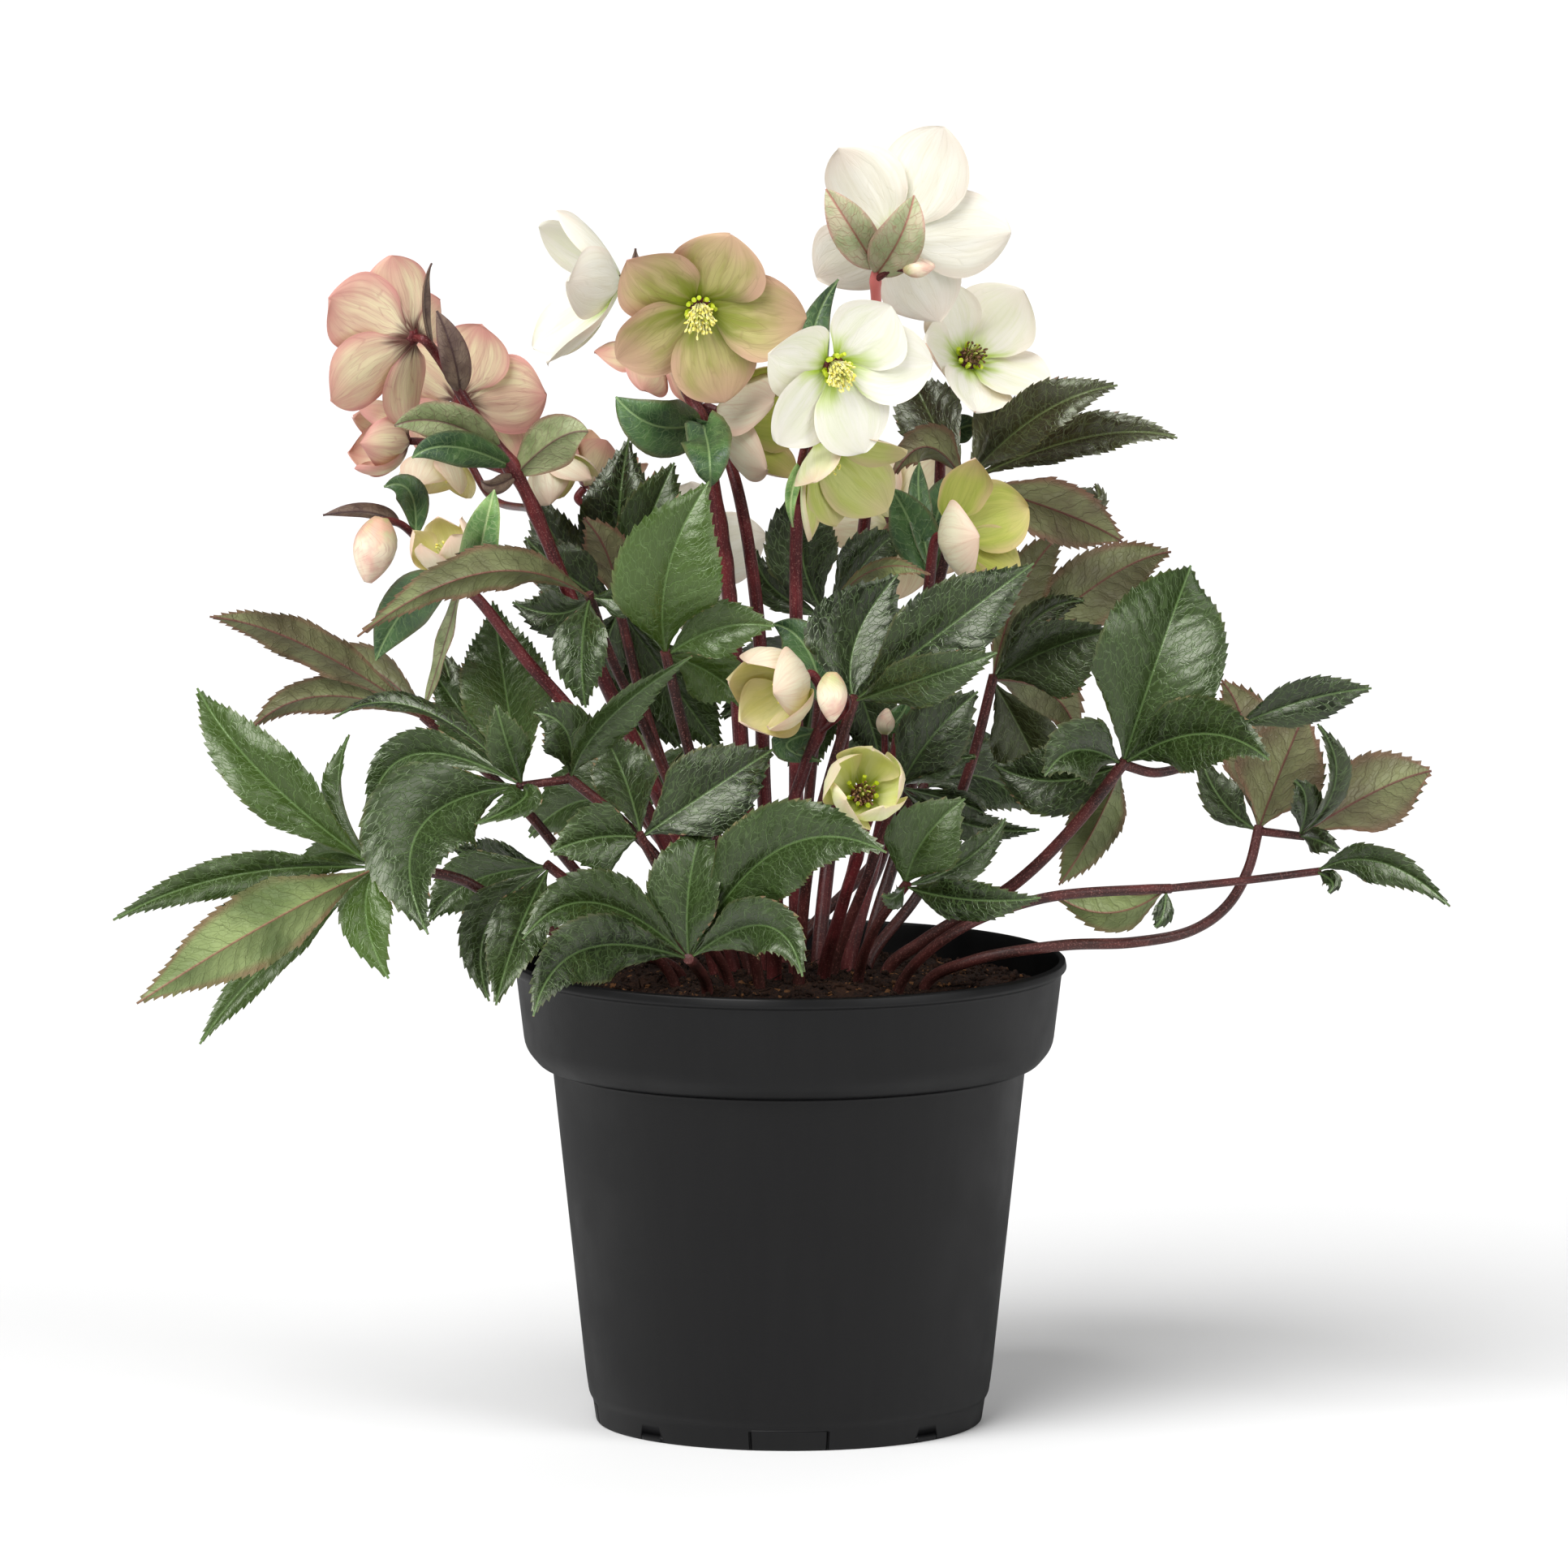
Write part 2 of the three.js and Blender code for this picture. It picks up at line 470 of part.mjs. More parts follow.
// ---- Leaves -----------------------------------------------------------------------------------------
// A leaf is a petiole that ends in a hub, with its leaflets spread from it like a hand. `branch` is a
// second hub, joined to the first by a stalk of its own. A leaflet is [middle, tip, width, roll, fold],
// and a sixth number of 1 puts it on the branch.
const leaves = [
  {
    name: "leaf_left_low", color: "#4d6b3f", radius: 2.1, foot: [-44, -14],
    stalk: [[760, 1168, -39], [650, 1132, -54], [569, 1081, -63]], hub: [466, 1067, -68],
    leaflets: [
      [[328, 954, -64], [246, 846, -40], 27, 12, 12],
      [[424, 985, -54], [434, 903, -48], 13, -50, 25],
      [[288, 1077, -93], [142, 1132, -117], 16, 8, 10],
      [[319, 1143, -111], [171, 1235, -132], 31, 178, 8],
      [[334, 1182, -78], [249, 1285, -87], 15, 20, 10],
      [[454, 1128, -78], [482, 1204, -87], 21, 0, 12],
      [[415, 1048, -45], [366, 1066, -39], 12, 0, 10],
    ],
  },
  {
    name: "leaf_left_high", color: "#5d5a44", radius: 2, foot: [-38, 14],
    stalk: [[740, 1100, 21], [640, 985, 30]], hub: [528, 884, 33],
    leaflets: [
      [[380, 793, 18], [261, 758, 9], 18, 168, 8],
      [[401, 855, 30], [312, 897, 27], 17, 160, 8],
      [[462, 822, 51], [391, 814, 60], 18, 150, 8],
      [[556, 850, 51], [543, 798, 63], 17, 5, 10],
      [[606, 905, 48], [640, 862, 57], 15, 0, 10],
    ],
  },
  {
    name: "leaf_left_broad", color: "#2f4a35", radius: 2.1, foot: [-26, -25],
    stalk: [[856, 1110, -54], [776, 1016, -66]], hub: [706, 958, -66],
    branch: { stalk: [], hub: [646, 966, -72] },
    leaflets: [
      [[520, 1020, -98], [531, 1150, -126], 45, 14, 14, 1],
      [[512, 928, -51], [458, 1012, -57], 18, 18, 20, 1],
      [[626, 850, 3], [610, 738, 15], 36, 4, 10, 1],
      [[585, 892, 9], [537, 826, 21], 24, 8, 10, 1],
      [[628, 915, -84], [614, 866, -87], 17, 4, 12, 1],
      [[520, 872, -27], [413, 884, -33], 12, 62, 12, 1],
      [[645, 985, -84], [588, 1014, -99], 14, 24, 16, 1],
      [[752, 884, -90], [856, 806, -111], 17, 24, 18],
      [[700, 898, -78], [660, 876, -78], 22, 8, 12],
    ],
  },
  {
    name: "leaf_left_rim", color: "#33503a", radius: 2, foot: [-46, -30],
    stalk: [[760, 1130, -54]], hub: [680, 1066, -66],
    leaflets: [
      [[640, 1150, -90], [614, 1237, -108], 23, 10, 14],
      [[585, 1084, -39], [532, 1134, -42], 23, 10, 12],
      [[604, 1138, -66], [606, 1232, -78], 21, 10, 12],
      [[618, 1060, -36], [560, 1040, -30], 20, -10, 10],
    ],
  },
  {
    name: "leaf_left_stem", color: "#6b6a48", radius: 2, foot: [-16, -12],
    stalk: [[868, 1060, -12], [800, 900, -16], [757, 810, -24]], hub: [730, 734, -33],
    leaflets: [
      [[600, 703, -72], [443, 783, -63], 20, 162, 10],
      [[720, 800, -51], [725, 870, -54], 22, 14, 14],
      [[772, 738, -39], [806, 742, -39], 13, 10, 12],
      [[690, 754, -6], [634, 740, 3], 19, 10, 10],
    ],
  },
  {
    name: "leaf_centre_back", color: "#2b3f35", radius: 2.1, foot: [-14, 18],
    stalk: [[862, 1050, 27], [800, 880, 33]], hub: [766, 748, 36],
    leaflets: [
      [[765, 640, 51], [778, 538, 60], 31, -8, 10],
      [[752, 682, 24], [722, 636, 24], 20, 170, 8],
      [[700, 705, 30], [650, 660, 36], 24, 6, 10],
      [[800, 728, 21], [826, 690, 18], 18, 0, 10],
      [[745, 800, 45], [722, 850, 51], 22, 8, 10],
      [[796, 840, 66], [842, 920, 78], 31, 5, 10],
      [[836, 846, 60], [892, 925, 69], 27, 8, 10],
      [[802, 642, 36], [834, 568, 42], 24, 4, 10],
      [[694, 672, 48], [664, 604, 57], 19, 10, 10],
    ],
  },
  {
    name: "leaf_centre_bright", color: "#47702f", radius: 2.2, foot: [-12, -36],
    stalk: [[905, 1090, -57], [853, 926, -60]], hub: [824, 806, -69],
    leaflets: [
      [[826, 700, -90], [877, 591, -84], 43, 4, 10],
      [[890, 772, -78], [957, 770, -81], 22, -8, 12],
      [[880, 828, -48], [918, 866, -45], 23, 0, 10],
    ],
  },
  {
    name: "leaf_centre_low", color: "#2c4631", radius: 2, foot: [-24, -37],
    stalk: [[838, 1110, -81]], hub: [793, 1030, -93],
    leaflets: [
      [[878, 972, -94], [956, 921, -84], 34, -10, 10],
      [[772, 955, -48], [744, 900, -48], 25, 8, 10],
      [[738, 1030, -99], [681, 1048, -105], 27, 6, 12],
    ],
  },
  {
    name: "leaf_front", color: "#34523c", radius: 2.2, foot: [-33, -50],
    stalk: [[860, 1188, -76]], hub: [852, 1180, -99],
    leaflets: [
      [[852, 1092, -106], [872, 1008, -90], 30, -18, 18],
      [[964, 1044, -134], [1096, 1049, -168], 36, -16, 10],
      [[945, 1138, -132], [992, 1202, -153], 25, 4, 14],
      [[735, 1110, -126], [647, 1156, -148], 26, 16, 12],
      [[722, 1168, -150], [660, 1251, -183], 27, 0, 14],
    ],
  },
  {
    name: "leaf_right_centre", color: "#2f4c38", radius: 2.2, foot: [4, -34],
    stalk: [[1000, 1060, -54], [1030, 940, -69]], hub: [1055, 862, -75],
    leaflets: [
      [[1058, 785, -60], [1110, 705, -54], 42, 4, 10],
      [[1170, 772, -92], [1277, 692, -84], 34, -12, 10],
      [[1145, 832, -114], [1232, 802, -126], 21, 6, 12],
    ],
  },
  {
    name: "leaf_centre_dark", color: "#26382c", radius: 2, foot: [2, 28],
    stalk: [[1000, 980, 30]], hub: [1022, 760, 21],
    leaflets: [
      [[990, 668, 18], [1018, 590, 21], 29, 0, 10],
      [[1078, 702, -21], [1150, 706, -33], 13, 128, 12],
      [[1070, 690, 36], [1108, 655, 45], 22, 0, 10],
      [[955, 722, 27], [934, 674, 30], 14, 0, 10],
      [[958, 824, 78], [890, 884, 90], 30, 6, 10],
      [[1062, 850, 27], [1090, 944, 32], 28, -6, 10],
      [[1002, 870, 62], [985, 975, 70], 25, 4, 10],
    ],
  },
  {
    name: "leaf_right_inner", color: "#47614a", radius: 2, foot: [18, -8],
    stalk: [[1075, 1070, -18]], hub: [1112, 968, -21],
    leaflets: [
      [[1152, 905, -27], [1208, 850, -21], 28, 2, 10],
      [[1180, 985, -6], [1216, 1000, -3], 14, 20, 14],
      [[1160, 940, 12], [1206, 930, 18], 12, 10, 12],
      [[1190, 1012, 14], [1284, 1020, 22], 13, 6, 12],
    ],
  },
  {
    name: "leaf_right_low", color: "#3d5c3c", radius: 2, foot: [28, -34],
    stalk: [[1082, 1140, -57]], hub: [1118, 1090, -66],
    leaflets: [
      [[1142, 1032, -72], [1192, 982, -69], 31, 2, 10],
      [[1196, 1106, -99], [1286, 1104, -120], 17, 4, 12],
      [[1104, 1104, -93], [1090, 1100, -105], 9, 10, 10],
      [[1192, 1058, -54], [1242, 1006, -45], 15, 10, 12],
    ],
  },
  {
    name: "leaf_right_brown", color: "#4b5238", radius: 2.1, foot: [32, 16],
    stalk: [[1140, 1090, 36], [1198, 943, 36]], hub: [1226, 836, 39],
    leaflets: [
      [[1302, 795, 27], [1380, 774, 18], 35, 18, 22],
      [[1268, 912, 54], [1300, 985, 60], 28, 6, 12],
      [[1296, 852, 69], [1330, 905, 75], 25, 172, 8],
      [[1350, 722, 66], [1446, 678, 66], 29, 166, 8],
      [[1262, 722, 60], [1316, 652, 63], 21, 168, 8],
      [[1280, 760, 45], [1340, 738, 42], 14, 10, 10],
    ],
  },
  {
    name: "leaf_right_glossy", color: "#2d5038", radius: 2.4, foot: [40, -6],
    stalk: [[1140, 1158, -12], [1256, 1085, -24], [1330, 1012, -33]], hub: [1386, 940, -42],
    branch: { stalk: [[1430, 950, -33], [1490, 928, -21]], hub: [1520, 896, -18] },
    leaflets: [
      [[1431, 804, -52], [1470, 695, -22], 52, 2, 16],
      [[1484, 902, -74], [1568, 936, -108], 30, -14, 12],
      [[1330, 922, -63], [1290, 955, -75], 26, 4, 14],
      [[1300, 960, -18], [1228, 940, -9], 28, 8, 10],
      [[1350, 1020, 0], [1308, 1088, -6], 21, 172, 8],
      [[1610, 861, -21], [1693, 846, -15], 19, 8, 10, 1],
    ],
  },
  {
    name: "leaf_right_creeping", color: "#55633f", radius: 2, foot: [44, -46],
    stalk: [[1180, 1146, -69], [1283, 1106, -66], [1412, 1094, -51]], hub: [1440, 1093, -46],
    branch: { stalk: [[1535, 1083, -27]], hub: [1624, 1072, -15] },
    leaflets: [
      [[1703, 1060, -27], [1790, 1115, -45], 16, 12, 14, 1],
      [[1644, 1084, -24], [1640, 1098, -27], 8, 0, 10, 1],
      [[1372, 1122, -36], [1306, 1102, -27], 18, 170, 10],
      [[1436, 1124, -51], [1426, 1140, -51], 8, 0, 10],
    ],
  },
  {
    name: "leaf_right_far", color: "#8a7f66", radius: 2.1, foot: [55, -27],
    stalk: [[1200, 1182, -39], [1310, 1163, -36], [1400, 1159, -27], [1470, 1145, -15], [1514, 1115, -3],
      [1541, 1069, 9]],
    hub: [1553, 1022, 15],
    branch: { stalk: [], hub: [1604, 1028, 18] },
    leaflets: [
      [[1508, 984, 21], [1482, 930, 27], 16, 18, 12],
      [[1582, 945, 18], [1613, 872, 21], 36, 176, 6],
      [[1540, 905, 45], [1508, 836, 54], 26, 168, 8],
      [[1648, 960, 0], [1626, 890, 0], 13, 40, 16, 1],
      [[1700, 972, 21], [1767, 948, 24], 31, 172, 8, 1],
      [[1612, 985, 3], [1598, 960, 3], 13, 10, 12, 1],
      [[1630, 1034, 3], [1652, 1046, 0], 10, 0, 12, 1],
    ],
  },
  {
    name: "leaf_top_right", color: "#5a5a40", radius: 2.4, foot: [32, 34],
    stalk: [[1120, 1000, 57], [1150, 760, 54]], hub: [1192, 592, 39],
    leaflets: [
      [[1284, 509, -9], [1380, 473, -15], 22, -26, 14],
      [[1342, 537, 6], [1454, 538, -9], 18, -30, 14],
      [[1148, 508, 66], [1128, 464, 72], 27, 0, 10],
      [[1226, 520, 63], [1222, 474, 69], 17, 0, 10],
      [[1146, 548, 21], [1104, 584, 15], 19, 164, 8],
      [[1312, 630, 33], [1386, 666, 27], 25, 168, 8],
      [[1330, 618, 66], [1352, 594, 72], 13, 0, 10],
    ],
  },
  {
    name: "leaf_back_left", color: "#33503a", radius: 2.1, foot: [-24, 42],
    stalk: [[850, 1080, 70]], hub: [790, 1000, 105],
    leaflets: [
      [[720, 985, 112], [655, 1030, 122], 31, 30, 12],
      [[745, 950, 138], [700, 950, 172], 32, 70, 12],
      [[800, 935, 146], [806, 950, 183], 34, 120, 12],
      [[852, 965, 128], [905, 1000, 150], 31, -50, 12],
    ],
  },
  {
    name: "leaf_back_right", color: "#2f4c38", radius: 2.1, foot: [2, 46],
    stalk: [[1080, 1060, 78]], hub: [1140, 970, 112],
    leaflets: [
      [[1210, 955, 118], [1280, 1000, 128], 31, -30, 12],
      [[1188, 918, 142], [1236, 920, 176], 33, -70, 12],
      [[1130, 905, 150], [1124, 920, 183], 34, -120, 12],
      [[1076, 940, 134], [1020, 980, 156], 31, 50, 12],
    ],
  },
];

// The same points, with the last one moved on by a distance, so that what joins there sinks well in.
function past(points, distance) {
  const last = points[points.length - 1];
  const before = points.length > 1 ? points[points.length - 2] : last.clone().sub(UP);
  const step = last.clone().sub(before).normalize().multiplyScalar(distance);
  return [...points.slice(0, -1), last.clone().add(step)];
}

function makeLeaf({ radius, foot, stalk, hub, branch, leaflets }) {
  const hubs = [place(hub)];
  const parts = [planted(foot, past([...stalk.map(place), hubs[0]], radius), radius * 1.15, radius, 4)];
  if (branch) {
    hubs.push(place(branch.hub));
    const arm = past([hubs[0], ...branch.stalk.map(place), hubs[1]], radius);
    parts.push(tube(arm, radius * 0.85, radius * 0.8));
  }
  for (const [middle, tip, width, roll, fold, onBranch = 0] of leaflets) {
    const base = hubs[onBranch];
    const reach = base.distanceTo(place(tip));
    const rows = reach > 50 ? 5 : reach > 27 ? 4 : 3;
    parts.push(leaflet(base, place(middle), place(tip), width, roll, fold, rows, true));
  }
  return Manifold.union(parts);
}

// ---- Layout of the blooms ---------------------------------------------------------------------------
// Sepal shapes by the stage that a bloom is at.
const OPEN = { rise: 62, flare: 92, cup: 0.12 };
const FUNNEL = { rise: 64, flare: 26, cup: 0.25 };
const BELL = { rise: 64, flare: 2, cup: 0.3 };
const CUP = { rise: 80, flare: -30, cup: 0.4 };
const NODDING = { rise: 68, flare: 10, cup: 0.4 };
const FINE = { rows: 3, columns: 3 };
const PLAIN = { rows: 3, columns: 2 };

const blooms = {
  bloom_pink_back: {
    seat: [510, 413, -18], face: [-0.62, 0.75, 0.06], length: 38, width: 31, ...OPEN,
    sepals: [
      [12, 0.86, 1, 0], [65, 1.06, 1.1, 0], [126, 1.1, 1.1, 0],
      [187, 1, 0.85, 0], [300, 0.62, 0.8, -24],
    ],
    ...PLAIN, stamens: "fused", color: "#dfa79a",
  },
  bloom_pink_inner: {
    seat: [571, 491, 30], face: [0.3, 0.9, 0.3], length: 34, width: 31, ...OPEN,
    sepals: [[272, 1, 1.1, 0], [342, 0.95, 1, 0], [60, 0.9, 1, 0], [140, 1, 1, 0], [212, 1.05, 1, 0]],
    ...PLAIN, color: "#e2b8a8", stamens: "own",
  },
  bloom_pink_side: {
    seat: [500, 541, 3], face: [-0.97, -0.2, 0.08], turn: 20,
    length: 28, width: 23, ...CUP, ...PLAIN, color: "#d9a08f",
  },
  bloom_blush_nodding: {
    seat: [545, 556, 66], face: [-0.15, -0.2, -0.95], turn: 10,
    length: 24, width: 21, ...NODDING, ...PLAIN, color: "#ead6bf",
  },
  bloom_green_nodding: {
    seat: [676, 566, 33], face: [0.5, -0.1, -0.82], turn: 40,
    length: 24, width: 21, ...NODDING, ...PLAIN, color: "#c9b795",
  },
  bloom_mauve: {
    seat: [727, 592, 96], face: [0.5, 0.1, 0.86], turn: 0,
    length: 28, width: 22, ...NODDING, ...PLAIN, color: "#b39d93",
  },
  bloom_cream_young: {
    seat: [557, 692, -30], face: [-0.3, -0.35, 0.88], turn: 36,
    length: 24, width: 19, ...CUP, ...PLAIN, color: "#e6d3b0",
  },
  bloom_white_side: {
    seat: [762, 345, 54], face: [-0.95, -0.22, 0.02], length: 42, width: 31, ...FUNNEL,
    sepals: [[16, 1, 0.9, 0], [84, 1, 1, 0], [158, 1.12, 1, 0], [212, 1.1, 1, 0], [310, 1, 1, 0]],
    ...PLAIN, color: "#f0efe2", stamens: "own",
  },
  bloom_olive_open: {
    seat: [865, 377, -36], face: [0.08, -0.93, -0.3], length: 40, width: 36, ...OPEN,
    sepals: [[18, 0.9, 1.1, 0], [92, 1.05, 1, 0], [165, 0.98, 1, 0], [240, 0.95, 0.95, 0], [308, 0.95, 1, 0]],
    ...FINE, color: "#b4b47a", stamens: "own",
  },
  bloom_pink_hidden: {
    seat: [810, 440, 39], face: [-0.5, 0.1, -0.85], turn: 30,
    length: 25, width: 22, rise: 80, flare: 50, cup: 0.3, ...PLAIN, color: "#cfa296",
  },
  bloom_cream_bell: {
    seat: [894, 505, 12], face: [0.84, -0.42, -0.14], turn: 14,
    length: 42, width: 34, ...BELL, ...PLAIN, color: "#e9d9bd", stamens: "own",
  },
  bloom_white_open: {
    seat: [1030, 449, -66], face: [0.42, -0.87, -0.22], length: 38, width: 33, ...OPEN,
    sepals: [[38, 0.85, 1.1, 0], [88, 1.05, 1, 0], [158, 0.98, 1.1, 0], [222, 1, 1, 0], [285, 0.86, 1.05, 0]],
    ...FINE, color: "#f3f3e6", stamens: "own",
  },
  bloom_white_top: {
    seat: [1106, 292, 21], face: [0.1, 0.93, 0.28], length: 46, width: 36, ...OPEN,
    sepals: [[336, 1.08, 1, 0], [32, 0.92, 1, 0], [122, 0.84, 1, 0], [202, 0.92, 0.95, 0], [270, 1, 1.02, 0]],
    ...FINE, stamens: "fused", color: "#f1f0e4",
  },
  bloom_cream_upward: {
    seat: [1196, 441, 63], face: [0.35, -0.7, 0.6], length: 36, width: 31, rise: 66, flare: 42, cup: 0.25,
    sepals: [[50, 1, 1.15, 0], [135, 1, 1, 25], [200, 0.95, 1, 25], [268, 0.85, 0.9, 0], [338, 0.92, 0.9, 0]],
    ...PLAIN, color: "#ecebca", stamens: "own",
  },
  bloom_green_bell: {
    seat: [1015, 549, -42], face: [0.5, -0.45, -0.74], length: 38, width: 27, rise: 58, flare: 38, cup: 0.3,
    sepals: [
      [40, 0.92, 1, 0], [112, 1.1, 1.1, 0], [152, 0.95, 1, 0],
      [208, 1.05, 1.15, -25], [285, 0.85, 0.9, 0],
    ],
    ...PLAIN, stamens: "fused", color: "#dfe2a4",
  },
  bloom_lime: {
    seat: [1175, 657, -9], face: [0.66, -0.6, 0.2], length: 33, width: 27, rise: 76, flare: 36, cup: 0.35,
    sepals: [
      [8, 1, 1, 0], [80, 1.1, 1.15, 20], [128, 1, 1, 20],
      [195, 0.75, 0.9, -10], [258, 1.15, 1.25, -66],
    ],
    ...PLAIN, stamens: "fused", color: "#d2cf86",
  },
  bloom_cream_cup: {
    seat: [985, 836, -81], face: [-0.72, -0.62, -0.2], turn: 4,
    length: 34, width: 30, ...CUP, ...FINE, color: "#f0e9c6", stamens: "own",
  },
  bloom_front_cup: {
    seat: [1065, 977, -90], face: [0.12, -0.9, 0.42], turn: 12,
    length: 30, width: 26, ...CUP, ...PLAIN, color: "#e6e6b2", stamens: "own",
  },
  bloom_back_left: {
    seat: [850, 700, 112], face: [-0.3, 0.9, 0.28], turn: 0,
    length: 36, width: 31, ...OPEN, ...PLAIN, stamens: "fused", color: "#f0efe2",
  },
  bloom_back_right: {
    seat: [1105, 640, 92], face: [0.28, 0.9, 0.22], turn: 30,
    length: 36, width: 31, ...OPEN, ...PLAIN, stamens: "fused", color: "#e9e6c8",
  },
};

// Where a pedicel meets the back of a receptacle: two points, so that it arrives square to it.
function pedicelEnd({ seat, face }) {
  const { forward } = axes(face);
  const end = place(seat).addScaledVector(forward, -RECEPTACLE_DEPTH - CLEARANCE);
  return [end.clone().addScaledVector(forward, -5), end];
}

// ---- Layout of the flower stems ---------------------------------------------------------------------
// A flower stem rises from the compost and forks; every fork ends in a bloom, a bud or a cut end. Bracts
// are [base, middle, tip, width, roll, fold]. A bud is [seat, face, length, radius].
const flowerStems = [
  {
    name: "flower_stem_pink", foot: [-23, 6], radius: 3.7,
    path: [[806, 960, 0], [745, 830, -4], [700, 720, -6], [641, 586, -12], [584, 504, -15], [545, 440, -18]],
    to: "bloom_pink_back",
    forks: [
      { path: [[622, 558, -10], [600, 530, 6]], radius: 1.9, to: "bloom_pink_inner" },
      { path: [[634, 578, -9], [580, 562, 3], [540, 545, 3]], radius: 1.6, to: "bloom_pink_side" },
      { path: [[655, 625, -9], [604, 606, 62], [572, 552, 80]], radius: 1.5, to: "bloom_blush_nodding" },
      { path: [[642, 582, -9], [656, 560, 24]], radius: 1.5, to: "bloom_green_nodding" },
    ],
    bracts: [
      [[610, 560, -12], [548, 518, -33], [489, 523, -39], 18, 8, 12],
      [[618, 580, -15], [560, 548, -45], [511, 562, -51], 15, 0, 12],
      [[642, 588, -12], [688, 540, -24], [728, 530, -27], 22, 168, 10],
      [[630, 590, -15], [612, 596, -27], [596, 590, -30], 8, 0, 10],
      [[530, 425, -18], [525, 370, -24], [535, 322, -24], 6, 60, 20],
      [[571, 478, -16], [560, 430, -30], [541, 381, -33], 13, 14, 14],
    ],
  },
  {
    name: "flower_stem_left", foot: [-29, -11], radius: 3.6,
    path: [[796, 990, -33], [702, 869, -39], [650, 810, -38], [591, 735, -33]], to: "bloom_cream_young",
    forks: [
      { path: [[580, 722, -32], [542, 690, 12], [500, 646, 3], [472, 639, -12]], radius: 1.6,
        bud: [[-0.2, -0.05, -0.97], 27, 10] },
    ],
    bracts: [
      [[584, 722, -33], [598, 660, -66], [612, 602, -66], 16, -12, 16],
      [[500, 644, 0], [455, 628, -9], [401, 633, -15], 8, 160, 12],
      [[520, 660, 6], [508, 604, 27], [476, 598, 33], 13, 10, 12],
      [[566, 708, -30], [505, 745, 0], [466, 812, 9], 21, 10, 12],
      [[572, 716, -30], [549, 800, -3], [525, 876, 3], 9, 50, 14],
    ],
  },
  {
    name: "flower_stem_olive", foot: [-11, 1], radius: 3.8,
    path: [[922, 1000, 3], [905, 762, 0], [884, 610, 0], [868, 520, 3], [846, 470, 6], [842, 410, 0]],
    to: "bloom_olive_open",
    forks: [
      { path: [[864, 508, 3], [862, 450, 99], [822, 370, 90]], radius: 1.7, to: "bloom_white_side" },
      { path: [[866, 516, 3], [846, 430, 39]], radius: 1.5, to: "bloom_pink_hidden" },
      { path: [[893, 700, 0], [872, 700, 60]], radius: 1.7, to: "bloom_back_left" },
      { path: [[890, 650, 0], [850, 650, 84], [786, 640, 99]], radius: 1.7, to: "bloom_mauve" },
    ],
    bracts: [
      [[862, 520, 0], [810, 522, -30], [762, 487, -33], 25, 4, 12],
      [[864, 516, -3], [876, 550, -66], [878, 598, -69], 21, 0, 14],
      [[800, 366, 75], [790, 340, 78], [786, 304, 78], 8, 10, 14],
    ],
  },
  {
    name: "flower_stem_bell", foot: [-3, 10], radius: 3.5,
    path: [[946, 1000, 14], [937, 762, 14], [914, 610, 15], [894, 545, 24]], to: "bloom_cream_bell",
  },
  {
    name: "flower_stem_white", foot: [3, -9], radius: 3.4,
    path: [[984, 1000, -14], [984, 800, -12], [987, 620, -9], [1003, 550, -9], [1022, 490, -18]],
    to: "bloom_white_open",
    forks: [{ path: [[987, 625, -9], [992, 560, -30]], radius: 1.7, to: "bloom_green_bell" }],
    bracts: [
      [[998, 556, -12], [980, 600, -45], [980, 647, -48], 6, 10, 14],
      [[1012, 520, -21], [1003, 420, 0], [1036, 342, 6], 14, 10, 12],
    ],
  },
  {
    name: "flower_stem_top", foot: [12, 18], radius: 3.3,
    path: [
      [1030, 1000, 42], [1048, 850, 54], [1062, 700, 57], [1080, 520, 42], [1084, 400, 18], [1084, 330, 6],
    ],
    to: "bloom_white_top",
    forks: [
      {
        path: [[1084, 340, 8], [1104, 330, -3], [1120, 330, -8]], radius: 1.3,
        bud: [[0.95, -0.2, 0.15], 13, 4.6],
      },
      { path: [[1066, 690, 38], [1086, 665, 62]], radius: 1.7, to: "bloom_back_right" },
    ],
    bracts: [
      [[1084, 338, 6], [1112, 290, -15], [1129, 239, -15], 21, 4, 16],
      [[1084, 332, 6], [1050, 276, -12], [1021, 231, -12], 18, -4, 14],
    ],
  },
  {
    name: "flower_stem_lime", foot: [24, 2], radius: 3.5,
    path: [[1082, 1050, 9], [1122, 850, 9], [1146, 730, 3]], to: "bloom_lime",
    bracts: [
      [[1146, 712, 2], [1126, 646, 10], [1101, 600, 4], 20, 4, 10],
      [[1148, 704, 0], [1136, 620, 14], [1136, 568, 17], 10, 0, 10],
      [[1150, 696, 2], [1162, 620, 28], [1196, 584, 35], 15, 0, 10],
    ],
  },
  {
    name: "flower_stem_upward", foot: [20, 54], radius: 3.2,
    path: [[1090, 1050, 60], [1136, 850, 64], [1158, 650, 70], [1166, 520, 74]], to: "bloom_cream_upward",
    bracts: [[[1164, 540, 84], [1190, 524, 75], [1212, 522, 72], 12, 6, 12]],
  },
  {
    name: "flower_stem_cup", foot: [-6, -23], radius: 3.3,
    path: [[966, 1040, -51], [996, 940, -63], [1020, 872, -69]], to: "bloom_cream_cup",
    forks: [
      {
        path: [[1008, 900, -66], [1048, 866, -90], [1028, 830, -111]], radius: 1.2,
        bud: [[0, 0, -1], 20, 7],
      },
    ],
    bracts: [
      [[1013, 874, -69], [996, 796, -30], [955, 767, -27], 19, 6, 12],
      [[1011, 870, -72], [1040, 840, -45], [1040, 814, -39], 12, 0, 12],
      [[1010, 900, -69], [972, 916, -57], [1015, 936, -69], 13, 4, 12],
    ],
  },
  {
    name: "flower_stem_front", foot: [14, -21], radius: 3.1,
    path: [[1042, 1110, -44], [1064, 1030, -66]], to: "bloom_front_cup",
    forks: [
      {
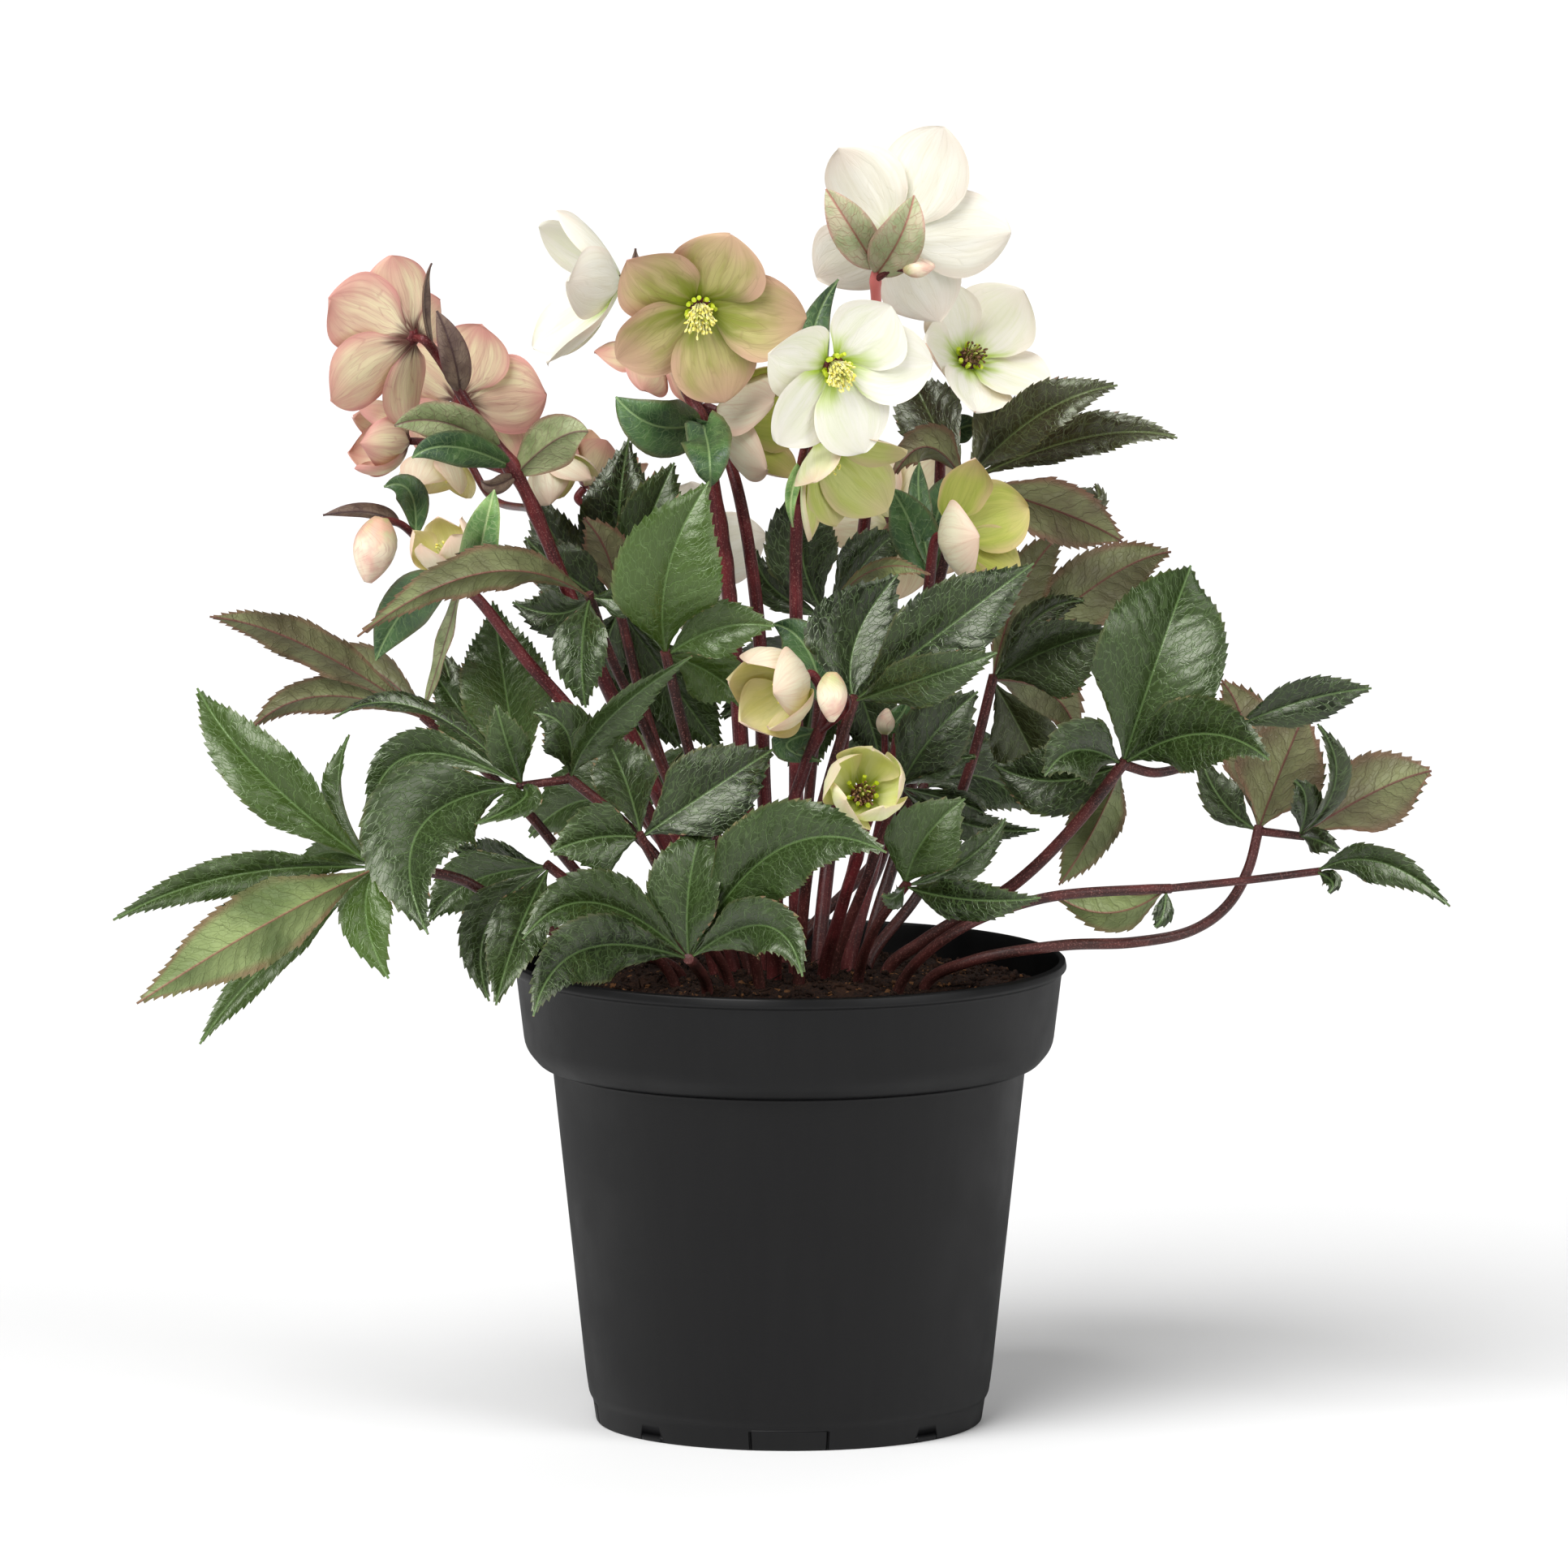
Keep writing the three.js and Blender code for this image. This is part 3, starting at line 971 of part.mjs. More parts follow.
        path: [[1056, 1044, -56], [1092, 950, -20], [1093, 900, -12]], radius: 1.4,
        bud: [[0.1, -0.1, 1], 11, 4.4],
      },
    ],
    bracts: [[[1093, 912, -3], [1112, 880, -12], [1122, 862, -12], 9, 0, 12]],
  },
];

// The point of a set of paths that lies nearest, so that forks and bracts start inside the stem.
function nearestOn(paths, point) {
  let best = point;
  let gap = Infinity;
  for (const path of paths) {
    for (const candidate of new THREE.CatmullRomCurve3(path, false, "centripetal").getPoints(60)) {
      const distance = candidate.distanceTo(point);
      if (distance < gap) [best, gap] = [candidate, distance];
    }
  }
  return best;
}

function makeFlowerStem({ foot, radius, path, to, forks = [], bracts = [] }) {
  const main = [...path.map(place), ...pedicelEnd(blooms[to])];
  const paths = [main];
  const parts = [planted(foot, main, radius, 1.7, 5)];
  for (const fork of forks) {
    const way = fork.path.map(place);
    way[0] = nearestOn([main], way[0]);
    if (fork.to) way.push(...pedicelEnd(blooms[fork.to]));
    paths.push(way);
    parts.push(tube(way, fork.radius * 1.1, fork.radius));
    if (fork.bud) {
      const [face, length, swell] = fork.bud;
      parts.push(bud(way[way.length - 1].clone(), face, length, swell));
    }
  }
  for (const [base, middle, tip, width, roll, fold] of bracts) {
    const start = nearestOn(paths, place(base));
    parts.push(leaflet(start, place(middle), place(tip), width, roll, fold, 3, false));
  }
  return Manifold.union(parts);
}

// ---- Assembly ---------------------------------------------------------------------------------------
addNode("pot", makePot(), { color: "#232325", roughness: 0.5 });

for (const stem of flowerStems) {
  addNode(stem.name, makeFlowerStem(stem), { color: "#6b2c30", roughness: 0.5 });
}

for (const [name, bloom] of Object.entries(blooms)) {
  const seat = place(bloom.seat);
  addNode(name, calyx(seat, bloom), { color: bloom.color, roughness: 0.55 });
  if (bloom.stamens === "own") {
    addNode(`${name}_boss`, boss(seat, bloom), { color: "#d9cf4a", roughness: 0.6 });
  }
}

for (const leaf of leaves) {
  addNode(leaf.name, makeLeaf(leaf), { color: leaf.color, roughness: 0.4 });
}

addNode("compost", makeCompost().subtract(Manifold.union(sleeves)), { color: "#24140d", roughness: 0.95 });

export default root;
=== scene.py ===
"""A hellebore in a grower's pot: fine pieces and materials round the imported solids."""

import json
import math

import bpy
import numpy as np
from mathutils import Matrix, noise


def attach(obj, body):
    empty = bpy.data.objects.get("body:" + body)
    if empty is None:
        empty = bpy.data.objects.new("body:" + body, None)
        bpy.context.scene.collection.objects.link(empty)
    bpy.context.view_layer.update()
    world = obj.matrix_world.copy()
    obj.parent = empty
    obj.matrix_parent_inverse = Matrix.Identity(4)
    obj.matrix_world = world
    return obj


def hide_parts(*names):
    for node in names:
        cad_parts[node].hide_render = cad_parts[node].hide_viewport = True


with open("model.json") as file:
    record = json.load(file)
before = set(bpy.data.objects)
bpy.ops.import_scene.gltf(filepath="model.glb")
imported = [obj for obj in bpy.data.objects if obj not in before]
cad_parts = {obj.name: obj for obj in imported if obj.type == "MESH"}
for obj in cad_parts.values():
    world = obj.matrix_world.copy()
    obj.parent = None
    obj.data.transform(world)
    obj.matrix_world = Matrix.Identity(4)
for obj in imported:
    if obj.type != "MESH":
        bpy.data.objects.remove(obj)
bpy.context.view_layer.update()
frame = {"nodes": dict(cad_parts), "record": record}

scene = bpy.context.scene


# ---- Pot --------------------------------------------------------------------------------------------
# A grower's pot, injection-moulded in one piece from black polypropylene. It stands on a foot ring that is
# cut by drainage channels. The part shows satin flanks and a rolled rim.
MM = 0.001
RIM_RADIUS = 113
POT_HEIGHT = 190
BODY_TOP = 146  # where the body meets the collar
COLLAR_TOP_RADIUS = 111
COLLAR_FOOT_RADIUS = 107.3
BODY_TOP_RADIUS = 96.2
BODY_FOOT_RADIUS = 82.8
WALL = 1.8
FOOT_RING_RADIUS = 80
FOOT_RING_HEIGHT = 9.5
FOOT_RING_WIDTH = 16
CHANNEL_HEIGHT = 8
CHANNEL_HALVES = (19.7, 6.8)  # half its width outside and inside
NOTCH_HALF = 5
NOTCH_HEIGHT = 3.3
HOLE_RADIUS = 5
HOLE_RING = 44  # how far the drain holes are from the axis
POT_SIDES = 208
POT_CREASE = 35  # degrees; sharper edges are shaded as edges


def colour(code):
    """The linear RGBA of an sRGB hex code."""
    channels = [int(code[i:i + 2], 16) / 255 for i in (1, 3, 5)]
    return [c / 12.92 if c < 0.0405 else ((c + 0.055) / 1.055) ** 2.4 for c in channels] + [1.0]


class Look:
    """A procedural material while it is being wired."""

    def __init__(self, name):
        self.material = bpy.data.materials.new(name)
        self.material.use_nodes = True
        self.tree = self.material.node_tree
        self.tree.nodes.clear()

    def add(self, kind, inputs=None, **settings):
        """Adds a node; an input takes a value or another node's output."""
        made = self.tree.nodes.new("ShaderNode" + kind)
        for name, value in settings.items():
            setattr(made, name, value)
        for socket, value in (inputs or {}).items():
            if isinstance(value, bpy.types.NodeSocket):
                self.tree.links.new(value, made.inputs[socket])
            else:
                made.inputs[socket].default_value = value
        return made

    def math(self, operation, *values):
        return self.add("Math", dict(enumerate(values)), operation=operation).outputs[0]

    def plus(self, first, second):
        return self.math("ADD", first, second)

    def less(self, first, second):
        return self.math("SUBTRACT", first, second)

    def times(self, first, second):
        return self.math("MULTIPLY", first, second)

    def most(self, first, second):
        return self.math("MAXIMUM", first, second)

    def vector(self, x, y, z):
        return self.add("CombineXYZ", {"X": x, "Y": y, "Z": z}).outputs[0]

    def band(self, value, low, high, start=0.0, end=1.0):
        """A smooth step from start to end as the value goes from low to high."""
        inputs = {"Value": value, "From Min": low, "From Max": high, "To Min": start, "To Max": end}
        return self.add("MapRange", inputs, interpolation_type="SMOOTHSTEP").outputs[0]

    def mix(self, share, first, second):
        """Two colours mingled; each is a hex code or another node's output."""
        first, second = (colour(v) if isinstance(v, str) else v for v in (first, second))
        return self.add("Mix", {0: share, 6: first, 7: second}, data_type="RGBA").outputs[2]

    def noise(self, vector, scale, detail=3.0, roughness=0.55):
        inputs = {"Vector": vector, "Scale": scale, "Detail": detail, "Roughness": roughness}
        return self.add("TexNoise", inputs).outputs["Fac"]

    def place(self):
        """The point's place in the object's frame, in metres."""
        return self.add("TexCoord").outputs["Object"]

    def attribute(self, name):
        """The three numbers that a mesh carries under this name."""
        vector = self.add("Attribute", attribute_name=name, attribute_type="GEOMETRY").outputs["Vector"]
        split = self.add("SeparateXYZ", {"Vector": vector})
        return vector, *split.outputs

    def bump(self, height, distance, strength=1.0):
        inputs = {"Height": height, "Distance": distance, "Strength": strength}
        return self.add("Bump", inputs).outputs[0]

    def finish(self, base, roughness, level=0.5, bump=None, sheet=0.0, more=None):
        """Ends in a Principled shader; level is the specular one, sheet the share of light let through."""
        inputs = {"Base Color": base, "Roughness": roughness, "Specular IOR Level": level} | (more or {})
        if bump:
            inputs["Normal"] = bump
        shader = self.add("BsdfPrincipled", inputs).outputs[0]
        if sheet:
            through = self.add("BsdfTranslucent", {"Color": base}).outputs[0]
            shader = self.add("MixShader", {0: sheet, 1: shader, 2: through}).outputs[0]
        self.add("OutputMaterial", {"Surface": shader})
        return self.material


def add_piece(name, points, faces, materials, slot, replaced, face_material=None, carried=None, crease=50):
    """Adds a mesh given in millimetres, with the numbers it carries for its materials."""
    mesh = bpy.data.meshes.new(name)
    mesh.from_pydata(np.asarray(points, dtype=float) * MM, [], faces)
    for label, values in (carried or {}).items():
        layer = mesh.attributes.new(label, "FLOAT_VECTOR", "POINT")
        layer.data.foreach_set("vector", np.asarray(values, dtype=np.float32).ravel())
    for material in materials:
        mesh.materials.append(material)
    if face_material is not None:
        mesh.polygons.foreach_set("material_index", np.asarray(face_material, dtype=np.int32))
    mesh.shade_smooth()
    mesh.set_sharp_from_angle(angle=math.radians(crease))
    mesh.validate()
    piece = bpy.data.objects.new(name, mesh)
    scene.collection.objects.link(piece)
    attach(piece, "root")
    if replaced:
        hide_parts(*replaced)
    return piece


def turned(profile, sides):
    """Points and faces of a profile of (radius, height) turned round the Z axis; both ends on the axis."""
    angles = np.arange(sides) * 2 * math.pi / sides
    points = [(0, 0, profile[0][1])]
    for radius, height in profile[1:-1]:
        points += [(radius * math.cos(a), radius * math.sin(a), height) for a in angles]
    points.append((0, 0, profile[-1][1]))
    faces = []
    last = len(points) - 1
    for k in range(sides):
        after = (k + 1) % sides
        faces.append((0, 1 + after, 1 + k))
        for row in range(len(profile) - 3):
            a = 1 + row * sides
            faces.append((a + k, a + after, a + sides + after, a + sides + k))
        a = 1 + (len(profile) - 3) * sides
        faces.append((a + k, a + after, last))
    return points, faces


def moulded_plastic():
    """Black polypropylene, satin, with the fine grain of the mould and faint flow lines down the flank."""
    look = Look("polypropylene_black_satin")
    place = look.place()
    stretched = look.add("Mapping", {"Vector": place, "Scale": (1.0, 1.0, 0.06)}).outputs[0]
    grain = look.noise(place, 1900, 2.0)
    flow = look.noise(stretched, 160, 3.0)
    bloom = look.noise(place, 22, 4.0)
    shade = look.plus(look.times(flow, 0.5), look.times(bloom, 0.5))
    base = look.mix(look.band(shade, 0.3, 0.7), "#040405", "#080809")
    height = look.plus(grain, look.times(flow, 0.6))
    facing = look.add("LayerWeight", {"Blend": 0.5}).outputs["Facing"]
    return look.finish(base, look.band(bloom, 0.3, 0.7, 0.4, 0.5),
                       look.band(facing, 0.25, 0.95, 0.26, 0.02), look.bump(height, 0.00006, 0.6))


def rounded(corner, into, out, radius, steps=4):
    """Points of an arc that rounds the corner between two straight runs of a profile."""
    corner, into, out = (np.array(p, dtype=float) for p in (corner, into, out))
    start = corner + (into - corner) / np.linalg.norm(into - corner) * radius
    end = corner + (out - corner) / np.linalg.norm(out - corner) * radius
    shares = np.linspace(0, 1, steps + 1)
    return [tuple((1 - t) ** 2 * start + 2 * t * (1 - t) * corner + t * t * end) for t in shares]


def smooth_profile(corners):
    """A profile with each corner (radius, height, rounding) rounded off."""
    points = []
    for index, (radius, height, rounding) in enumerate(corners):
        if rounding == 0:
            points.append((radius, height))
        else:
            before, after = corners[index - 1][:2], corners[index + 1][:2]
            points += rounded((radius, height), before, after, rounding)
    return points


foot_inner = FOOT_RING_RADIUS - FOOT_RING_WIDTH
pot_profile = smooth_profile([
    (0, CHANNEL_HEIGHT, 0),
    (foot_inner, CHANNEL_HEIGHT, 0.8),
    (foot_inner, 0, 1),
    (FOOT_RING_RADIUS - 1.5, 0, 1.2),
    (FOOT_RING_RADIUS - 0.35, FOOT_RING_HEIGHT - 2, 0.4),
    (FOOT_RING_RADIUS, FOOT_RING_HEIGHT, 0.8),
    (BODY_FOOT_RADIUS - 1.4, FOOT_RING_HEIGHT + 2, 2),
    (BODY_FOOT_RADIUS, FOOT_RING_HEIGHT + 11.5, 4),
    (BODY_TOP_RADIUS, BODY_TOP, 1.4),
    (COLLAR_FOOT_RADIUS - 6, BODY_TOP + 1, 2),
    (COLLAR_FOOT_RADIUS, BODY_TOP + 8, 4),
    (COLLAR_TOP_RADIUS, POT_HEIGHT - 5.5, 0.8),
    (RIM_RADIUS, POT_HEIGHT - 4, 0.9),
    (RIM_RADIUS - 0.6, POT_HEIGHT - 0.6, 0.7),
    (RIM_RADIUS - 3, POT_HEIGHT, 1.2),
    (COLLAR_TOP_RADIUS - WALL, POT_HEIGHT - 5, 1.5),
    (COLLAR_FOOT_RADIUS - WALL, BODY_TOP + 9, 3),
    (BODY_TOP_RADIUS - WALL, BODY_TOP + 2, 1.5),
    (BODY_FOOT_RADIUS - WALL, FOOT_RING_HEIGHT + 11.5, 4),
    (BODY_FOOT_RADIUS - WALL - 4, FOOT_RING_HEIGHT + 1, 2),
    (0, FOOT_RING_HEIGHT + 1, 0),
])
pot = add_piece("pot_moulding", *turned(pot_profile, POT_SIDES), [moulded_plastic()], "pot", ["pot"],
                crease=POT_CREASE)


def cut_away(name, points, faces):
    """Cuts a closed solid out of the pot."""
    mesh = bpy.data.meshes.new(name)
    mesh.from_pydata(np.asarray(points, dtype=float) * MM, [], faces)
    cutter = bpy.data.objects.new(name, mesh)
    scene.collection.objects.link(cutter)
    boolean = pot.modifiers.new(name, "BOOLEAN")
    boolean.operation, boolean.object, boolean.solver = "DIFFERENCE", cutter, "EXACT"
    graph = bpy.context.evaluated_depsgraph_get()
    carved = bpy.data.meshes.new_from_object(pot.evaluated_get(graph))
    pot.modifiers.clear()
    pot.data = carved
    bpy.data.objects.remove(cutter)


def channel(angle, outer_half, inner_half, height):
    """A drainage channel through the foot ring: its side walls curve in from the outside like a funnel."""
    along = np.linspace(0, 1, 9)
    radii = FOOT_RING_RADIUS + 6 - along * (FOOT_RING_WIDTH + 10)
    halves = inner_half + (outer_half - inner_half) * (1 - np.minimum(1, along * 1.35)) ** 0.6
    plan = list(zip(radii, halves)) + list(zip(radii[::-1], -halves[::-1]))
    turn = np.array([[math.cos(angle), -math.sin(angle)], [math.sin(angle), math.cos(angle)]])
    ring = [tuple(turn @ np.array(p)) for p in plan]
    points = [(x, y, -5) for x, y in ring] + [(x, y, height) for x, y in ring]
    count = len(ring)
    sides = [(k, k + count, (k + 1) % count + count, (k + 1) % count) for k in range(count)]
    return points, sides + [tuple(range(count)), tuple(range(2 * count - 1, count - 1, -1))]


for quarter in range(4):
    facing = quarter * math.pi / 2
    cut_away("channel", *channel(facing, *CHANNEL_HALVES, CHANNEL_HEIGHT))
    cut_away("notch", *channel(facing + math.pi / 4, NOTCH_HALF, NOTCH_HALF, NOTCH_HEIGHT))
    hole, hole_faces = turned([(0, 5), (HOLE_RADIUS, 5), (HOLE_RADIUS, 14), (0, 14)], 32)
    hole = [(x + HOLE_RING * math.cos(facing), y + HOLE_RING * math.sin(facing), z) for x, y, z in hole]
    cut_away("drain_hole", hole, hole_faces)
pot.data.set_sharp_from_angle(angle=math.radians(POT_CREASE))


# ---- Compost ----------------------------------------------------------------------------------------
# Peat and fine bark, dark brown and damp, heaped a little round the crown of the plant. The surface is a
# crust of crumbs with loose fibres on it.
SOIL_RADIUS = 107
SOIL_EDGE_HEIGHT = 176
SOIL_CROWN_RISE = 9
SOIL_FLANK = ((104, 156), (93.5, 149), (80, 22), (75, 11))  # radius and height, below the surface
CRUMBS = 2600


def soil_height(x, y):
    r = math.hypot(x, y) / SOIL_RADIUS
    lumps = 1.1 * math.sin(x / 9 + 2) * math.cos(y / 11) + 0.8 * math.sin((x + 2 * y) / 13)
    return SOIL_EDGE_HEIGHT + SOIL_CROWN_RISE * max(0, 1 - r * r) + lumps * min(1, 4 - 4 * r)


def damp_peat():
    """Damp peat: near-black brown crumbs, with tan bark flecks among them, and no gloss."""
    look = Look("peat_damp_crumbs")
    place = look.place()
    crumbs = look.add("TexVoronoi", {"Vector": place, "Scale": 420.0}, feature="F1")
    fine = look.noise(place, 900, 4.0, 0.7)
    patches = look.noise(place, 60, 3.0)
    base = look.mix(look.band(fine, 0.35, 0.7), "#150b07", "#3a2418")
    base = look.mix(look.times(look.band(patches, 0.5, 0.75), 0.4), base, "#4d3120")
    flecks = look.add("SeparateColor", {"Color": crumbs.outputs["Color"]}).outputs[0]
    base = look.mix(look.band(flecks, 0.93, 0.96, 0, 0.7), base, "#8a5f3a")
    height = look.less(fine, crumbs.outputs["Distance"])
    return look.finish(base, 0.9, level=0.25, bump=look.bump(height, 0.0012))


def soil_surface():
    """The top of the compost as a grid in rings, roughened crumb by crumb."""
    rings, sides = 46, 200
    points = [(0, 0, soil_height(0, 0))]
    for ring in range(1, rings + 1):
        radius = SOIL_RADIUS * ring / rings
        for k in range(sides):
            angle = 2 * math.pi * (k + 0.5 * (ring % 2)) / sides
            x, y = radius * math.cos(angle), radius * math.sin(angle)
            rough = 1.5 * noise.noise((x / 3.1, y / 3.1, 0)) + 0.9 * noise.noise((x / 1.4, y / 1.4, 5))
            points.append((x, y, soil_height(x, y) + (rough if ring < rings else 0)))
    for radius, height in SOIL_FLANK:
        for k in range(sides):
            angle = 2 * math.pi * k / sides
            points.append((radius * math.cos(angle), radius * math.sin(angle), height))
    points.append((0, 0, SOIL_FLANK[-1][1]))
    faces = []
    rows = rings + len(SOIL_FLANK)
    for k in range(sides):
        after = (k + 1) % sides
        faces.append((0, 1 + k, 1 + after))
        for row in range(rows - 1):
            a = 1 + row * sides
            faces.append((a + k, a + sides + k, a + sides + after, a + after))
        a = 1 + (rows - 1) * sides
        faces.append((a + k, len(points) - 1, a + after))
    return points, faces


peat = damp_peat()
add_piece("compost_body", *soil_surface(), [peat], "compost", ["compost"], crease=80)


def crumb_heap(count, seed):
    """Loose crumbs and short fibres of bark that lie on the surface, in one mesh."""
    rng = np.random.default_rng(seed)
    corner = (1 + math.sqrt(5)) / 2
    lump = np.array([(-1, corner, 0), (1, corner, 0), (-1, -corner, 0), (1, -corner, 0),
                     (0, -1, corner), (0, 1, corner), (0, -1, -corner), (0, 1, -corner),
                     (corner, 0, -1), (corner, 0, 1), (-corner, 0, -1), (-corner, 0, 1)])
    lump /= np.linalg.norm(lump[0])
    sides = [(0, 11, 5), (0, 5, 1), (0, 1, 7), (0, 7, 10), (0, 10, 11), (1, 5, 9), (5, 11, 4),
             (11, 10, 2), (10, 7, 6), (7, 1, 8), (3, 9, 4), (3, 4, 2), (3, 2, 6), (3, 6, 8),
             (3, 8, 9), (4, 9, 5), (2, 4, 11), (6, 2, 10), (8, 6, 7), (9, 8, 1)]
    points, faces = [], []
    for number in range(count):
        angle, radius = rng.uniform(0, 2 * math.pi), (SOIL_RADIUS - 4) * math.sqrt(rng.uniform())
        x, y = radius * math.cos(angle), radius * math.sin(angle)
        large, fibre = number % 12 == 0, number % 5 == 0
        size = rng.uniform(2, 3.2) if large else rng.uniform(0.7, 2.0)
        stretch = np.array([0.35, 0.35, rng.uniform(3, 6)]) if fibre else rng.uniform(0.6, 1.4, 3)
        axis = rng.normal(size=3)
        axis[2] *= 0.3
        axis /= np.linalg.norm(axis)
        side = np.cross(axis, (0.3, 0.2, 1))
        side /= np.linalg.norm(side)
        basis = np.column_stack((side, np.cross(axis, side), axis))
        shape = (lump * rng.uniform(0.75, 1.2, (12, 1)) * stretch * size * 0.6) @ basis.T
        faces += [tuple(len(points) + i for i in corners) for corners in sides]
        points += list(shape + (x, y, soil_height(x, y) + 0.3 * size))
    return points, faces


add_piece("compost_crumbs", *crumb_heap(CRUMBS, 4), [peat], "compost", [], crease=180)


# ---- Front elevation --------------------------------------------------------------------------------
# Leaves, stems and blooms are laid out on a front elevation on which the rim is 686 units wide, drawn in
# perspective from 8 m away. A point is (across, down, back), the last in millimetres behind the pot's axis.
UNIT = 2 * RIM_RADIUS / 686
DRAWING_WIDTH = 1932
DRAWING_CENTRE = DRAWING_WIDTH / 2
DRAWING_OFFSET = (3, 2)
VIEW_DISTANCE = 8000
VIEW_TILT = math.radians(7.9)
VIEW_TARGET = np.array((-3.0, 0.0, 260.5))
VIEW_FORWARD = np.array((0.0, math.cos(VIEW_TILT), -math.sin(VIEW_TILT)))
VIEW_UP = np.array((0.0, math.sin(VIEW_TILT), math.cos(VIEW_TILT)))
EYE = VIEW_TARGET - VIEW_FORWARD * VIEW_DISTANCE
TO_VIEWER = np.array((0.0, -1.0, 0.0))
UP = np.array((0.0, 0.0, 1.0))


def place(point):
    across, down, back = point
    ray = VIEW_FORWARD * VIEW_DISTANCE + VIEW_UP * (DRAWING_CENTRE - down) * UNIT
    ray[0] += (across - DRAWING_CENTRE) * UNIT
    return EYE + ray * (back - EYE[1]) / ray[1]


def unit(vectors):
    return vectors / np.linalg.norm(vectors, axis=-1, keepdims=True)


class Mesh:
    """Collects blades and tubes of one piece: points in millimetres, faces, and what they carry."""

    def __init__(self):
        self.points, self.faces, self.kinds, self.blade, self.tone = [], [], [], [], []
        self.count = 0

    def add(self, points, faces, kind, blade, tone):
        """Faces are rows of corners; kind is the material's place in the piece's list."""
        self.faces += (np.asarray(faces) + self.count).tolist()
        self.kinds += [kind] * len(faces)
        self.points.append(points)
        self.blade.append(np.broadcast_to(blade, points.shape))
        self.tone.append(np.broadcast_to(tone, points.shape))
        self.count += len(points)

    def piece(self, name, materials, slot, replaced, crease=55):
        carried = {"blade": np.concatenate(self.blade), "tone": np.concatenate(self.tone)}
        return add_piece(name, np.concatenate(self.points), self.faces, materials, slot, replaced,
                         self.kinds, carried, crease)


# ---- Flower stems -----------------------------------------------------------------------------------
# Round, solid, dark red stems, thick as a pencil at the foot. They fork into thin pedicels from swollen
# nodes, each node wrapped by a bract. Each stem is rooted in the crown, below the compost.

